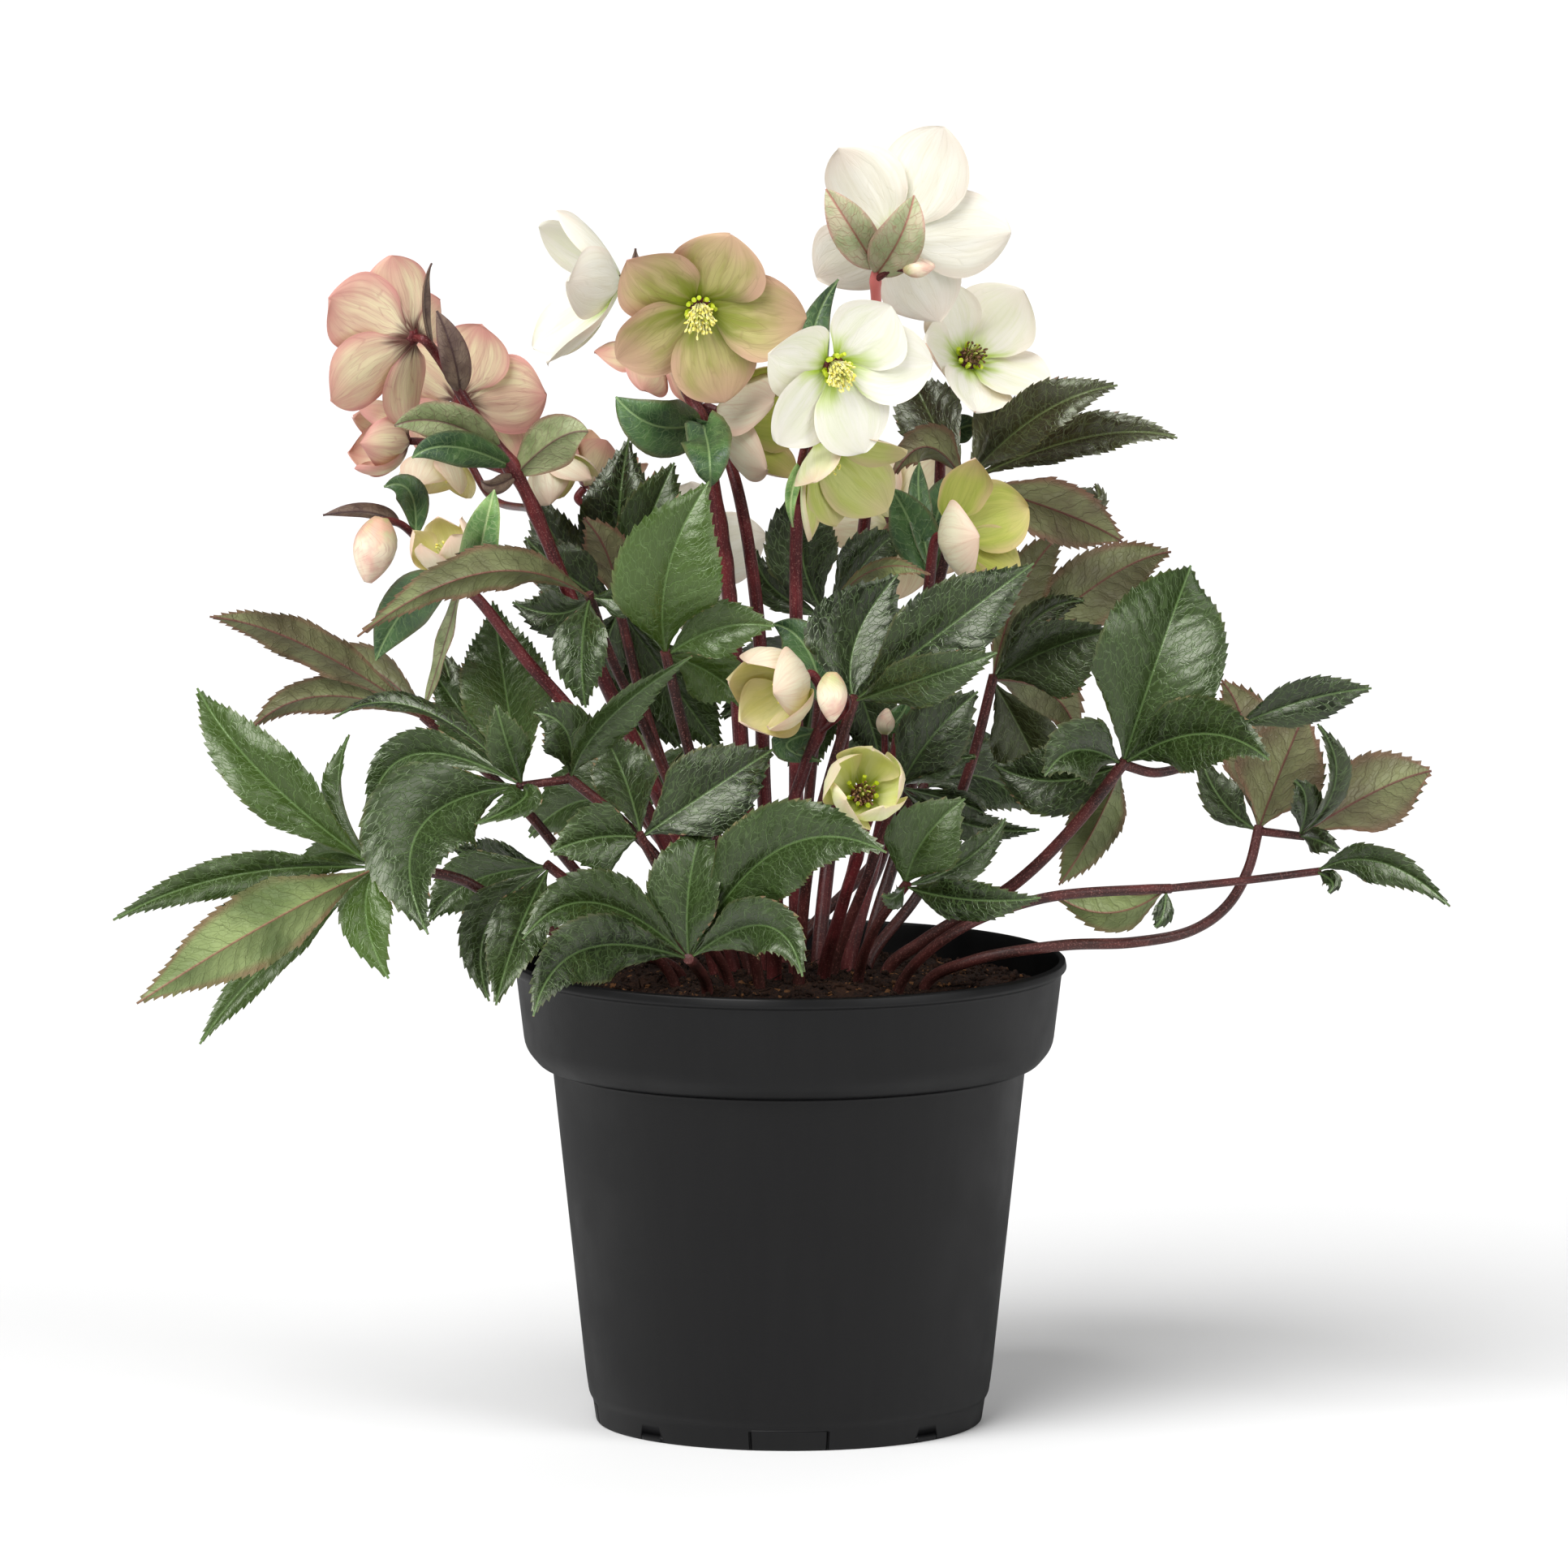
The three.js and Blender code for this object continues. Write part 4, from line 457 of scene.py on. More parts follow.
# A fork is its path, its radius, and its bloom or its bud (facing, length, radius). A bract is its base,
# middle and tip, its width, roll and fold, and its skin: green, fresh, olive, purple or blushed.
FLOWER_STEMS = {
    "flower_stem_pink": dict(
        foot=(-23, 6), radius=3.7, to="bloom_pink_back",
        path=[(806, 960, 0), (745, 830, -4), (700, 720, -6), (641, 586, -12), (584, 504, -15),
              (545, 440, -18)],
        forks=[
            ([(622, 558, -10), (600, 530, 6)], 1.9, "bloom_pink_inner"),
            ([(634, 578, -9), (580, 562, 3), (540, 545, 3)], 1.6, "bloom_pink_side"),
            ([(655, 625, -9), (604, 606, 62), (572, 552, 80)], 1.5, "bloom_blush_nodding"),
            ([(642, 582, -9), (656, 560, 24)], 1.5, "bloom_green_nodding"),
        ],
        bracts=[
            ((610, 560, -12), (548, 518, -33), (489, 523, -39), 18, 8, 12, "o"),
            ((618, 580, -15), (560, 548, -45), (511, 562, -51), 15, 0, 12, "g"),
            ((642, 588, -12), (688, 540, -24), (728, 530, -27), 22, 168, 10, "o"),
            ((630, 590, -15), (612, 596, -27), (596, 590, -30), 8, 0, 10, "p"),
            ((530, 425, -18), (525, 370, -24), (535, 322, -24), 6, 60, 20, "p"),
            ((571, 478, -16), (560, 430, -30), (541, 381, -33), 13, 14, 14, "p"),
        ],
    ),
    "flower_stem_left": dict(
        foot=(-29, -11), radius=3.6, to="bloom_cream_young",
        path=[(796, 990, -33), (702, 869, -39), (650, 810, -38), (591, 735, -33)],
        forks=[
            ([(580, 722, -32), (542, 690, 12), (500, 646, 3), (472, 639, -12)], 1.6,
             ((-0.2, -0.05, -0.97), 27, 10)),
        ],
        bracts=[
            ((584, 722, -33), (598, 660, -66), (612, 602, -66), 16, -12, 16, "f"),
            ((500, 644, 0), (455, 628, -9), (401, 633, -15), 8, 160, 12, "p"),
            ((520, 660, 6), (508, 604, 27), (476, 598, 33), 13, 10, 12, "g"),
            ((566, 708, -30), (505, 745, 0), (466, 812, 9), 21, 10, 12, "g"),
            ((572, 716, -30), (549, 800, -3), (525, 876, 3), 9, 50, 14, "o"),
        ],
    ),
    "flower_stem_olive": dict(
        foot=(-11, 1), radius=3.8, to="bloom_olive_open",
        path=[(922, 1000, 3), (905, 762, 0), (884, 610, 0), (868, 520, 3), (846, 470, 6), (842, 410, 0)],
        forks=[
            ([(864, 508, 3), (862, 450, 99), (822, 370, 90)], 1.7, "bloom_white_side"),
            ([(866, 516, 3), (846, 430, 39)], 1.5, "bloom_pink_hidden"),
            ([(893, 700, 0), (872, 700, 60)], 1.7, "bloom_back_left"),
            ([(890, 650, 0), (850, 650, 84), (786, 640, 99)], 1.7, "bloom_mauve"),
        ],
        bracts=[
            ((862, 520, 0), (810, 522, -30), (762, 487, -33), 25, 4, 12, "g"),
            ((864, 516, -3), (876, 550, -66), (878, 598, -69), 21, 0, 14, "g"),
            ((800, 366, 75), (790, 340, 78), (786, 304, 78), 8, 10, 14, "p"),
        ],
    ),
    "flower_stem_bell": dict(
        foot=(-3, 10), radius=3.5, to="bloom_cream_bell",
        path=[(946, 1000, 14), (937, 762, 14), (914, 610, 15), (894, 545, 24)],
    ),
    "flower_stem_white": dict(
        foot=(3, -9), radius=3.4, to="bloom_white_open",
        path=[(984, 1000, -14), (984, 800, -12), (987, 620, -9), (1003, 550, -9), (1022, 490, -18)],
        forks=[
            ([(987, 625, -9), (992, 560, -30)], 1.7, "bloom_green_bell"),
        ],
        bracts=[
            ((998, 556, -12), (980, 600, -45), (980, 647, -48), 6, 10, 14, "f"),
            ((1012, 520, -21), (1003, 420, 0), (1036, 342, 6), 14, 10, 12, "g"),
        ],
    ),
    "flower_stem_top": dict(
        foot=(12, 18), radius=3.3, to="bloom_white_top", young=1,
        path=[(1030, 1000, 42), (1048, 850, 54), (1062, 700, 57), (1080, 520, 42), (1084, 400, 18),
              (1084, 330, 6)],
        forks=[
            ([(1084, 340, 8), (1104, 330, -3), (1120, 330, -8)], 1.3, ((0.95, -0.2, 0.15), 13, 4.6)),
            ([(1066, 690, 38), (1086, 665, 62)], 1.7, "bloom_back_right"),
        ],
        bracts=[
            ((1084, 338, 6), (1112, 290, -15), (1129, 239, -15), 21, 4, 16, "b"),
            ((1084, 332, 6), (1050, 276, -12), (1021, 231, -12), 18, -4, 14, "b"),
        ],
    ),
    "flower_stem_lime": dict(
        foot=(24, 2), radius=3.5, to="bloom_lime",
        path=[(1082, 1050, 9), (1122, 850, 9), (1146, 730, 3)],
        bracts=[
            ((1146, 712, 2), (1126, 646, 10), (1101, 600, 4), 20, 4, 10, "g"),
            ((1148, 704, 0), (1136, 620, 14), (1136, 568, 17), 10, 0, 10, "g"),
            ((1150, 696, 2), (1162, 620, 28), (1196, 584, 35), 15, 0, 10, "g"),
        ],
    ),
    "flower_stem_upward": dict(
        foot=(20, 54), radius=3.2, to="bloom_cream_upward",
        path=[(1090, 1050, 60), (1136, 850, 64), (1158, 650, 70), (1166, 520, 74)],
        bracts=[
            ((1164, 540, 84), (1190, 524, 75), (1212, 522, 72), 12, 6, 12, "g"),
        ],
    ),
    "flower_stem_cup": dict(
        foot=(-6, -23), radius=3.3, to="bloom_cream_cup",
        path=[(966, 1040, -51), (996, 940, -63), (1020, 872, -69)],
        forks=[
            ([(1008, 900, -66), (1048, 866, -90), (1028, 830, -111)], 1.2, ((0, 0, -1), 20, 7)),
        ],
        bracts=[
            ((1013, 874, -69), (996, 796, -30), (955, 767, -27), 19, 6, 12, "g"),
            ((1011, 870, -72), (1040, 840, -45), (1040, 814, -39), 12, 0, 12, "g"),
            ((1010, 900, -69), (972, 916, -57), (1015, 936, -69), 13, 4, 12, "g"),
        ],
    ),
    "flower_stem_front": dict(
        foot=(14, -21), radius=3.1, to="bloom_front_cup",
        path=[(1042, 1110, -44), (1064, 1030, -66)],
        forks=[
            ([(1056, 1044, -56), (1092, 950, -20), (1093, 900, -12)], 1.4, ((0.1, -0.1, 1), 11, 4.4)),
        ],
        bracts=[
            ((1093, 912, -3), (1112, 880, -12), (1122, 862, -12), 9, 0, 12, "g"),
        ],
    ),
}

# The lie of a bloom's sepals: how far they rise from its axis and flare at their tips, in degrees, and
# how deep each is cupped.
OPEN, NODDING, CUPPED = (62, 92, 0.12), (68, 10, 0.4), (80, -30, 0.4)

# Sepals are five even ones from a turn, or each is its turn, its share of the length and of the width, and
# its extra flare. Skins are those of the faces and backs. A spent bloom has a brown heart.
BLOOMS = {
    "bloom_pink_back": dict(
        seat=(510, 413, -18), face=(-0.62, 0.75, 0.06), length=38, width=31, form=OPEN,
        skins=("pink", "pink"), stamens=20,
        sepals=[(12, 0.86, 1, 0), (65, 1.06, 1.1, 0), (126, 1.1, 1.1, 0), (187, 1, 0.85, 0),
                (300, 0.62, 0.8, -24)]),
    "bloom_pink_inner": dict(
        seat=(571, 491, 30), face=(0.3, 0.9, 0.3), length=34, width=31, form=OPEN,
        skins=("pink", "pink"), stamens=34,
        sepals=[(272, 1, 1.1, 0), (342, 0.95, 1, 0), (60, 0.9, 1, 0), (140, 1, 1, 0), (212, 1.05, 1, 0)]),
    "bloom_pink_side": dict(
        seat=(500, 541, 3), face=(-0.97, -0.2, 0.08), length=28, width=23, form=CUPPED,
        skins=("pink", "pink"), stamens=12, turn=20),
    "bloom_blush_nodding": dict(
        seat=(545, 556, 66), face=(-0.15, -0.2, -0.95), length=24, width=21, form=NODDING,
        skins=("cream", "cream"), stamens=12, turn=10),
    "bloom_green_nodding": dict(
        seat=(676, 566, 33), face=(0.5, -0.1, -0.82), length=24, width=21, form=NODDING,
        skins=("green", "cream"), stamens=12, turn=40),
    "bloom_mauve": dict(
        seat=(727, 592, 96), face=(0.5, 0.1, 0.86), length=28, width=22, form=NODDING,
        skins=("olive", "olive"), stamens=12, turn=0),
    "bloom_cream_young": dict(
        seat=(557, 692, -30), face=(-0.3, -0.35, 0.88), length=24, width=19, form=CUPPED,
        skins=("cream", "cream"), stamens=12, turn=36),
    "bloom_white_side": dict(
        seat=(762, 345, 54), face=(-0.95, -0.22, 0.02), length=42, width=31, form=(64, 26, 0.25),
        skins=("white", "white"), stamens=40,
        sepals=[(16, 1, 0.9, 0), (84, 1, 1, 0), (158, 1.12, 1, 0), (212, 1.1, 1, 0), (310, 1, 1, 0)]),
    "bloom_olive_open": dict(
        seat=(865, 377, -36), face=(0.08, -0.93, -0.3), length=40, width=36, form=OPEN,
        skins=("olive", "olive"), stamens=64,
        sepals=[(18, 0.9, 1.1, 0), (92, 1.05, 1, 0), (165, 0.98, 1, 0), (240, 0.95, 0.95, 0),
                (308, 0.95, 1, 0)]),
    "bloom_pink_hidden": dict(
        seat=(810, 440, 39), face=(-0.5, 0.1, -0.85), length=25, width=22, form=(80, 50, 0.3),
        skins=("pink", "olive"), stamens=12, turn=30),
    "bloom_cream_bell": dict(
        seat=(894, 505, 12), face=(0.84, -0.42, -0.14), length=42, width=34, form=(64, 2, 0.3),
        skins=("lime", "cream"), stamens=30, turn=14),
    "bloom_white_open": dict(
        seat=(1030, 449, -66), face=(0.42, -0.87, -0.22), length=38, width=33, form=OPEN,
        skins=("white", "white"), stamens=76,
        sepals=[(38, 0.85, 1.1, 0), (88, 1.05, 1, 0), (158, 0.98, 1.1, 0), (222, 1, 1, 0),
                (285, 0.86, 1.05, 0)]),
    "bloom_white_top": dict(
        seat=(1106, 292, 21), face=(0.1, 0.93, 0.28), length=46, width=36, form=OPEN,
        skins=("white", "white"), stamens=24,
        sepals=[(336, 1.08, 1, 0), (32, 0.92, 1, 0), (122, 0.84, 1, 0), (202, 0.92, 0.95, 0),
                (270, 1, 1.02, 0)]),
    "bloom_cream_upward": dict(
        seat=(1196, 441, 63), face=(0.35, -0.7, 0.6), length=36, width=31, form=(66, 42, 0.25),
        skins=("white", "cream"), stamens=34, spent=True,
        sepals=[(50, 1, 1.15, 0), (135, 1, 1, 25), (200, 0.95, 1, 25), (268, 0.85, 0.9, 0),
                (338, 0.92, 0.9, 0)]),
    "bloom_green_bell": dict(
        seat=(1015, 549, -42), face=(0.5, -0.45, -0.74), length=38, width=27, form=(58, 38, 0.3),
        skins=("green", "green"), stamens=16,
        sepals=[(40, 0.92, 1, 0), (112, 1.1, 1.1, 0), (152, 0.95, 1, 0), (208, 1.05, 1.15, -25),
                (285, 0.85, 0.9, 0)]),
    "bloom_lime": dict(
        seat=(1175, 657, -9), face=(0.66, -0.6, 0.2), length=33, width=27, form=(76, 36, 0.35),
        skins=("lime", "cream"), stamens=24,
        sepals=[(8, 1, 1, 0), (80, 1.1, 1.15, 20), (128, 1, 1, 20), (195, 0.75, 0.9, -10),
                (258, 1.15, 1.25, -66)]),
    "bloom_cream_cup": dict(
        seat=(985, 836, -81), face=(-0.72, -0.62, -0.2), length=34, width=30, form=CUPPED,
        skins=("cream", "cream"), stamens=30, turn=4),
    # The front cup's faces wear the cup skin, whose paler colours are painted light.
    "bloom_front_cup": dict(
        seat=(1065, 977, -90), face=(0.12, -0.9, 0.42), length=30, width=26, form=CUPPED,
        skins=("cup", "green"), stamens=26, spent=True, turn=12),
    "bloom_back_left": dict(
        seat=(850, 700, 112), face=(-0.3, 0.9, 0.28), length=36, width=31, form=OPEN,
        skins=("white", "white"), stamens=40, turn=0),
    "bloom_back_right": dict(
        seat=(1105, 640, 92), face=(0.28, 0.9, 0.22), length=36, width=31, form=OPEN,
        skins=("cream", "cream"), stamens=40, turn=30),
}

PLANTING_DEPTH = 24
RECEPTACLE_DEPTH = 2.6
CLEARANCE = 0.35
KNOT_REACH = 4.5  # how far a swelling runs along its stem
KNOT_SWELLING = 0.22
PEDICEL_RADIUS = 1.7
END_DOME = 0.35  # how far a tube's end bulges, as a share of its radius
TOOTH_PITCH = 4.7
TOOTHED_FROM, TOOTHED_SHARE = 0.11, 0.86  # where along a leaflet its teeth begin, and over how much
LEAF_SHELL = 0.32  # half the thickness of a leaflet


def on_curve(points, t):
    """The point at t, from 0 to 1, of the centripetal Catmull-Rom curve through the points."""
    spans = len(points) - 1
    span = min(int(t * spans), spans - 1)
    weight = t * spans - span
    first, second = points[span], points[span + 1]
    before = points[span - 1] if span else 2 * first - second
    after = points[span + 2] if span + 2 <= spans else 2 * second - first
    gaps = [math.sqrt(max(np.linalg.norm(b - a), 1e-6)) for a, b in
            ((before, first), (first, second), (second, after))]
    lead = (first - before) / gaps[0] - (second - before) / (gaps[0] + gaps[1]) + (second - first) / gaps[1]
    tail = (second - first) / gaps[1] - (after - first) / (gaps[1] + gaps[2]) + (after - second) / gaps[2]
    lead, tail = lead * gaps[1], tail * gaps[1]
    w2, w3 = weight ** 2, weight ** 3
    return (first * (2 * w3 - 3 * w2 + 1) + second * (3 * w2 - 2 * w3)
            + lead * (w3 - 2 * w2 + weight) + tail * (w3 - w2))


def ring_faces(rings, sides):
    """The quads between rings of points that follow one another in a list."""
    a = (np.arange(rings - 1)[:, None] * sides + np.arange(sides)).ravel()
    b = (np.arange(rings - 1)[:, None] * sides + (np.arange(sides) + 1) % sides).ravel()
    return np.column_stack((a, b, b + sides, a + sides))


def add_tube(mesh, path, start_radius, end_radius, kind, seed, sides=12, step=2.5, knots=(), young=0):
    """A tapering tube along the curve through the path, with a swelling at each knot (share, size)."""
    length = sum(np.linalg.norm(b - a) for a, b in zip(path, path[1:]))
    count = max(4, int(length / step))
    shares = np.linspace(0, 1, count + 1)
    centres = np.array([on_curve(path, t) for t in shares])
    tangents = unit(np.gradient(centres, axis=0))
    run = np.concatenate(([0], np.cumsum(np.linalg.norm(np.diff(centres, axis=0), axis=1))))
    radii = start_radius + (end_radius - start_radius) * shares
    for knot, size in knots:
        radii = radii * (1 + size * np.exp(-((shares - knot) * length / KNOT_REACH) ** 2))
    normal = np.array((1.0, 0, 0)) if abs(tangents[0][0]) < 0.8 else UP
    turns = np.arange(sides) * 2 * math.pi / sides
    rings = []
    for centre, tangent, radius in zip(centres, tangents, radii):
        normal = unit(normal - tangent * (normal @ tangent))
        side = np.cross(tangent, normal)
        rings.append(centre + radius * (np.outer(np.cos(turns), normal) + np.outer(np.sin(turns), side)))
    points = np.concatenate(rings + [[centres[0]], [centres[-1] + tangents[-1] * radii[-1] * END_DOME]])
    blade = np.zeros((len(points), 3))
    blade[:-2, 0] = np.repeat(run, sides)
    blade[:-2, 1] = np.tile(np.minimum(turns, 2 * math.pi - turns) * start_radius, count + 1)
    blade[-2:, 0] = run[0], run[-1]
    tone = (start_radius / 4, young, seed % 1)
    start, end = mesh.count, mesh.count + count * sides
    mesh.add(points, ring_faces(count + 1, sides), kind, blade, tone)
    mesh.faces += [[mesh.count - 2, start + (i + 1) % sides, start + i] for i in range(sides)]
    mesh.faces += [[mesh.count - 1, end + i, end + (i + 1) % sides] for i in range(sides)]
    mesh.kinds += [kind] * (2 * sides)


def arc(base, middle, tip, shares):
    """Points and tangents of the quadratic curve from base through middle to tip."""
    control = 2 * middle - (base + tip) / 2
    s = np.asarray(shares)[:, None]
    points = (1 - s) ** 2 * base + 2 * s * (1 - s) * control + s ** 2 * tip
    s = np.clip(s, 0.001, 0.999)
    return points, unit(2 * (1 - s) * (control - base) + 2 * s * (tip - control))


def add_sheet(mesh, top, bottom, kinds, blade, tone):
    """Skins a thin closed blade: an upper and a lower grid of points that share their two margins."""
    rows, columns = top.shape[:2]
    upper = np.arange(rows * columns).reshape(rows, columns)
    lower = upper.copy()
    lower[:, 1:-1] = rows * columns + np.arange(rows * (columns - 2)).reshape(rows, columns - 2)
    points = np.concatenate((top.reshape(-1, 3), bottom[:, 1:-1].reshape(-1, 3)))
    carry = [np.concatenate((v.reshape(-1, 3), v[:, 1:-1].reshape(-1, 3))) for v in (blade, tone)]

    def quads(grid):
        return np.stack((grid[:-1, :-1], grid[:-1, 1:], grid[1:, 1:], grid[1:, :-1]), -1).reshape(-1, 4)

    start = mesh.count
    mesh.add(points, quads(upper), kinds[0], *carry)
    under = quads(lower)[:, ::-1] + start
    mesh.faces += under.tolist()
    mesh.kinds += [kinds[1]] * len(under)
    for row, turn in ((0, -1), (rows - 1, 1)):
        up, down = upper[row] + start, lower[row] + start
        cap = [[up[0], up[1], down[1]]] + [[up[k], up[k + 1], down[k + 1], down[k]]
                                           for k in range(1, columns - 2)] + [[up[-2], up[-1], down[-2]]]
        mesh.faces += [[int(i) for i in face[::turn]] for face in cap]
        mesh.kinds += [kinds[1]] * len(cap)


ACROSS = np.array((-1, -0.94, -0.8, -0.6, -0.4, -0.22, -0.1, -0.035, 0,
                   0.035, 0.1, 0.22, 0.4, 0.6, 0.8, 0.94, 1))


def leaflet_width(s):
    return np.sin(math.pi * s ** 0.92) ** (0.75 + 0.5 * s) * np.minimum(1, 0.15 + 2.4 * s)


def bract_width(s):
    return np.sin(math.pi * s ** 0.8) ** 0.85


def add_leaflet(mesh, base, middle, tip, width, roll, fold, toothed, kinds, age, flush, rng):
    """A leaflet or bract with a channelled midrib, wavy halves and, where toothed, a saw-edged margin."""
    reach = np.linalg.norm(middle - base) + np.linalg.norm(tip - middle)
    if toothed:
        teeth = max(5, round(reach / TOOTH_PITCH))
        pitch = TOOTHED_SHARE / teeth
        shares = [0.004, 0.03, 0.06, 0.09]
        jut, forward = [0, 0, 0, 0], [0, 0, 0, 0]
        for tooth in range(teeth):
            sharp = rng.uniform(0.45, 1.2)
            shares += [TOOTHED_FROM + (tooth + f) * pitch for f in (0, 0.5, 0.86)]
            jut += [0, 0.55 * sharp, sharp]
            forward += [0, 0, 0.3 * pitch]
        shares += [0.975, 0.99, 0.998]
        jut += [0, 0, 0]
        forward += [0, 0, 0]
        shares, jut, forward = (np.array(v, dtype=float) for v in (shares, jut, forward))
    else:
        shares = (1 - np.cos(np.linspace(0.05, math.pi - 0.05, 22))) / 2
        jut = forward = np.zeros(len(shares))
    profile = leaflet_width if toothed else bract_width
    half = np.maximum(width / 2 * profile(shares), 0.5)
    centres, tangents = arc(base, middle, tip, shares)
    across = np.cross(tangents, TO_VIEWER)
    end_on = np.linalg.norm(across, axis=1, keepdims=True) < 0.05
    across = unit(np.where(end_on, np.cross(tangents, UP), across))
    turn = math.radians(roll)
    across = across * math.cos(turn) + np.cross(tangents, across) * math.sin(turn)
    normals = np.cross(across, tangents)
    v = ACROSS[None, :]
    out = np.ones((len(shares), len(ACROSS)))
    tooth_height = min(1.1, 0.03 * width + 0.35)
    for margin in (0, -1):
        out[:, margin] += jut * tooth_height / half
    lift = math.tan(math.radians(fold * (1.5 if toothed else 1.2)))
    wave_length = rng.uniform(28, 44)
    phases = rng.uniform(0, 2 * math.pi, 2)
    run = shares[:, None] * reach
    wave = np.where(v > 0, np.sin(run * 2 * math.pi / wave_length + phases[0]),
                    np.sin(run * 2 * math.pi / wave_length + phases[1]))
    body = np.minimum(1, half / 8)[:, None]
    height = (half[:, None] * (np.sqrt(v ** 2 + 0.004) - 0.063) * lift
              + 0.1 * half[:, None] * 4 * np.abs(v) * (1 - np.abs(v))
              + 1.3 * body * wave * np.abs(v) ** 2)
    groove = np.exp(-(v * half[:, None] / 0.9) ** 2) * (1 - shares[:, None]) ** 0.5
    shell = LEAF_SHELL * (1 - np.abs(v) ** 4)
    spread = half[:, None] * v * out
    middle_layer = (centres[:, None] + across[:, None] * spread[..., None]
                    + normals[:, None] * height[..., None])
    for margin in (0, -1):
        middle_layer[:, margin] += tangents * (forward * reach)[:, None]
    top = middle_layer + normals[:, None] * (shell - 0.25 * groove)[..., None]
    bottom = middle_layer - normals[:, None] * (shell + 0.75 * groove)[..., None]
    edge = np.abs(v) * np.ones_like(run)
    seed = rng.uniform()
    blade = np.stack((run * np.ones_like(v), half[:, None] * v, edge), -1)
    tone = np.broadcast_to((age, flush, seed), blade.shape)
    add_sheet(mesh, top, bottom, kinds, blade, tone)


def stem_skin(name, first, second, dark):
    """A waxy stem: finely speckled with pale dots, brownish at the ground, pinker where it is young."""
    look = Look(name)
    place = look.place()
    _, along, around, _ = look.attribute("blade")
    _, _, young, seed = look.attribute("tone")
    height = look.add("SeparateXYZ", {"Vector": place}).outputs[2]
    streak = look.noise(look.vector(look.times(along, 0.05), around, seed), 1.1, 3.0)
    blotch = look.noise(place, 55, 2.0)
    speckle = look.noise(place, 1500, 2.0)
    base = look.mix(look.band(blotch, 0.35, 0.65), first, second)
    base = look.mix(look.band(streak, 0.42, 0.68, 0, 0.65), base, dark)
    base = look.mix(look.band(height, 0.24, 0.175, 0, 0.35), base, "#5c3a34")
    base = look.mix(look.times(look.band(height, 0.38, 0.46), young), base, "#c46a66")
    base = look.mix(look.band(speckle, 0.57, 0.64, 0, 0.28), base, "#b07870")
    relief = look.plus(look.times(speckle, 0.5), streak)
    return look.finish(base, look.band(blotch, 0.3, 0.7, 0.34, 0.46), level=0.32,
                       bump=look.bump(relief, 0.00025, 0.7))


def veins(look, blade, along, sideways, edge, seed, spacing):
    """Masks of a leaf's midrib, side veins and net, and the pillows between the side veins; in mm."""
    out = look.math("ABSOLUTE", sideways)
    wobble = look.times(look.less(look.noise(blade, 0.16, 2.0), 0.5), 7.0)
    rank = look.plus(look.less(along, look.times(out, 0.95)), wobble)
    rank = look.plus(rank, look.times(look.math("SIGN", sideways), spacing / 4))
    rank = look.plus(rank, look.times(seed, 40.0))
    gap = look.math("PINGPONG", rank, spacing / 2)
    side = look.times(look.band(gap, 0.34, 0.08), look.band(edge, 1.0, 0.6, 0.2, 1))
    shifted = look.vector(rank, look.times(out, 1.2), look.times(seed, 90.0))
    cells = look.add("TexVoronoi", {"Vector": shifted, "Scale": 0.36}, feature="DISTANCE_TO_EDGE")
    net = look.band(cells.outputs["Distance"], 0.09, 0.01)
    midrib = look.band(out, 0.62, 0.25)
    pillow = look.times(look.band(gap, 0.0, spacing / 2), look.band(out, 0.0, 4.0))
    return midrib, side, net, pillow


def bract_skin(name, first, second, vein_code, edge_code, roughness):
    """A bract: a small smooth leaf, softer than the others, with a faint midrib and few side veins."""
    look = Look(name)
    blade, along, sideways, edge = look.attribute("blade")
    _, _, _, seed = look.attribute("tone")
    midrib, side, net, _ = veins(look, blade, along, sideways, edge, seed, spacing=7.0)
    place = look.place()
    clouds = look.noise(place, 90, 3.0)
    base = look.mix(look.band(clouds, 0.3, 0.7), first, second)
    vein = look.most(look.times(side, 0.4), look.times(net, 0.2))
    vein = look.most(vein, look.times(midrib, 0.7))
    base = look.mix(vein, base, vein_code)
    rim = look.times(look.band(edge, 0.78, 1.0), look.band(clouds, 0.3, 0.6, 0.3, 0.8))
    base = look.mix(rim, base, edge_code)
    return look.finish(base, roughness, bump=look.bump(look.plus(side, net), 0.0002, 0.6), sheet=0.1)


stem_red = stem_skin("stem_red_waxy", "#451317", "#6a2528", "#26090b")
bract_green = bract_skin("bract_green_satin", "#2a4628", "#4c6e3c", "#8da870", "#5f5a3a", 0.42)
bract_fresh = bract_skin("bract_fresh_satin", "#4a7438", "#7d9f5a", "#b9c992", "#9aa868", 0.45)
bract_olive = bract_skin("bract_olive_satin", "#6d7a4c", "#99a074", "#6a3f42", "#8a5c52", 0.5)
bract_purple = bract_skin("bract_purple_satin", "#5c463e", "#84705f", "#3c2228", "#5a3438", 0.5)
bract_blush = bract_skin("bract_blush_satin", "#a2ae80", "#c6bc9e", "#b0625e", "#c8948a", 0.5)


def bud_skin():
    """A closed bud: cream sepals wrapped tight, blushed pink along their edges."""
    look = Look("bud_cream_blushed")
    _, along, around, _ = look.attribute("blade")
    _, share, _, seed = look.attribute("tone")
    place = look.place()
    clouds = look.noise(place, 110, 3.0)
    lines = look.noise(look.vector(look.times(along, 0.12), around, seed), 1.3, 3.0)
    base = look.mix(look.band(share, 0.0, 0.5), "#a8b070", "#ecdcc2")
    base = look.mix(look.band(clouds, 0.4, 0.66, 0, 0.75), base, "#dba294")
    base = look.mix(look.band(lines, 0.5, 0.7, 0, 0.4), base, "#b06a64")
    return look.finish(base, 0.5, bump=look.bump(lines, 0.0003, 0.5),
                       more={"Subsurface Weight": 0.15, "Subsurface Radius": (0.004, 0.002, 0.001)})


bud_cream = bud_skin()


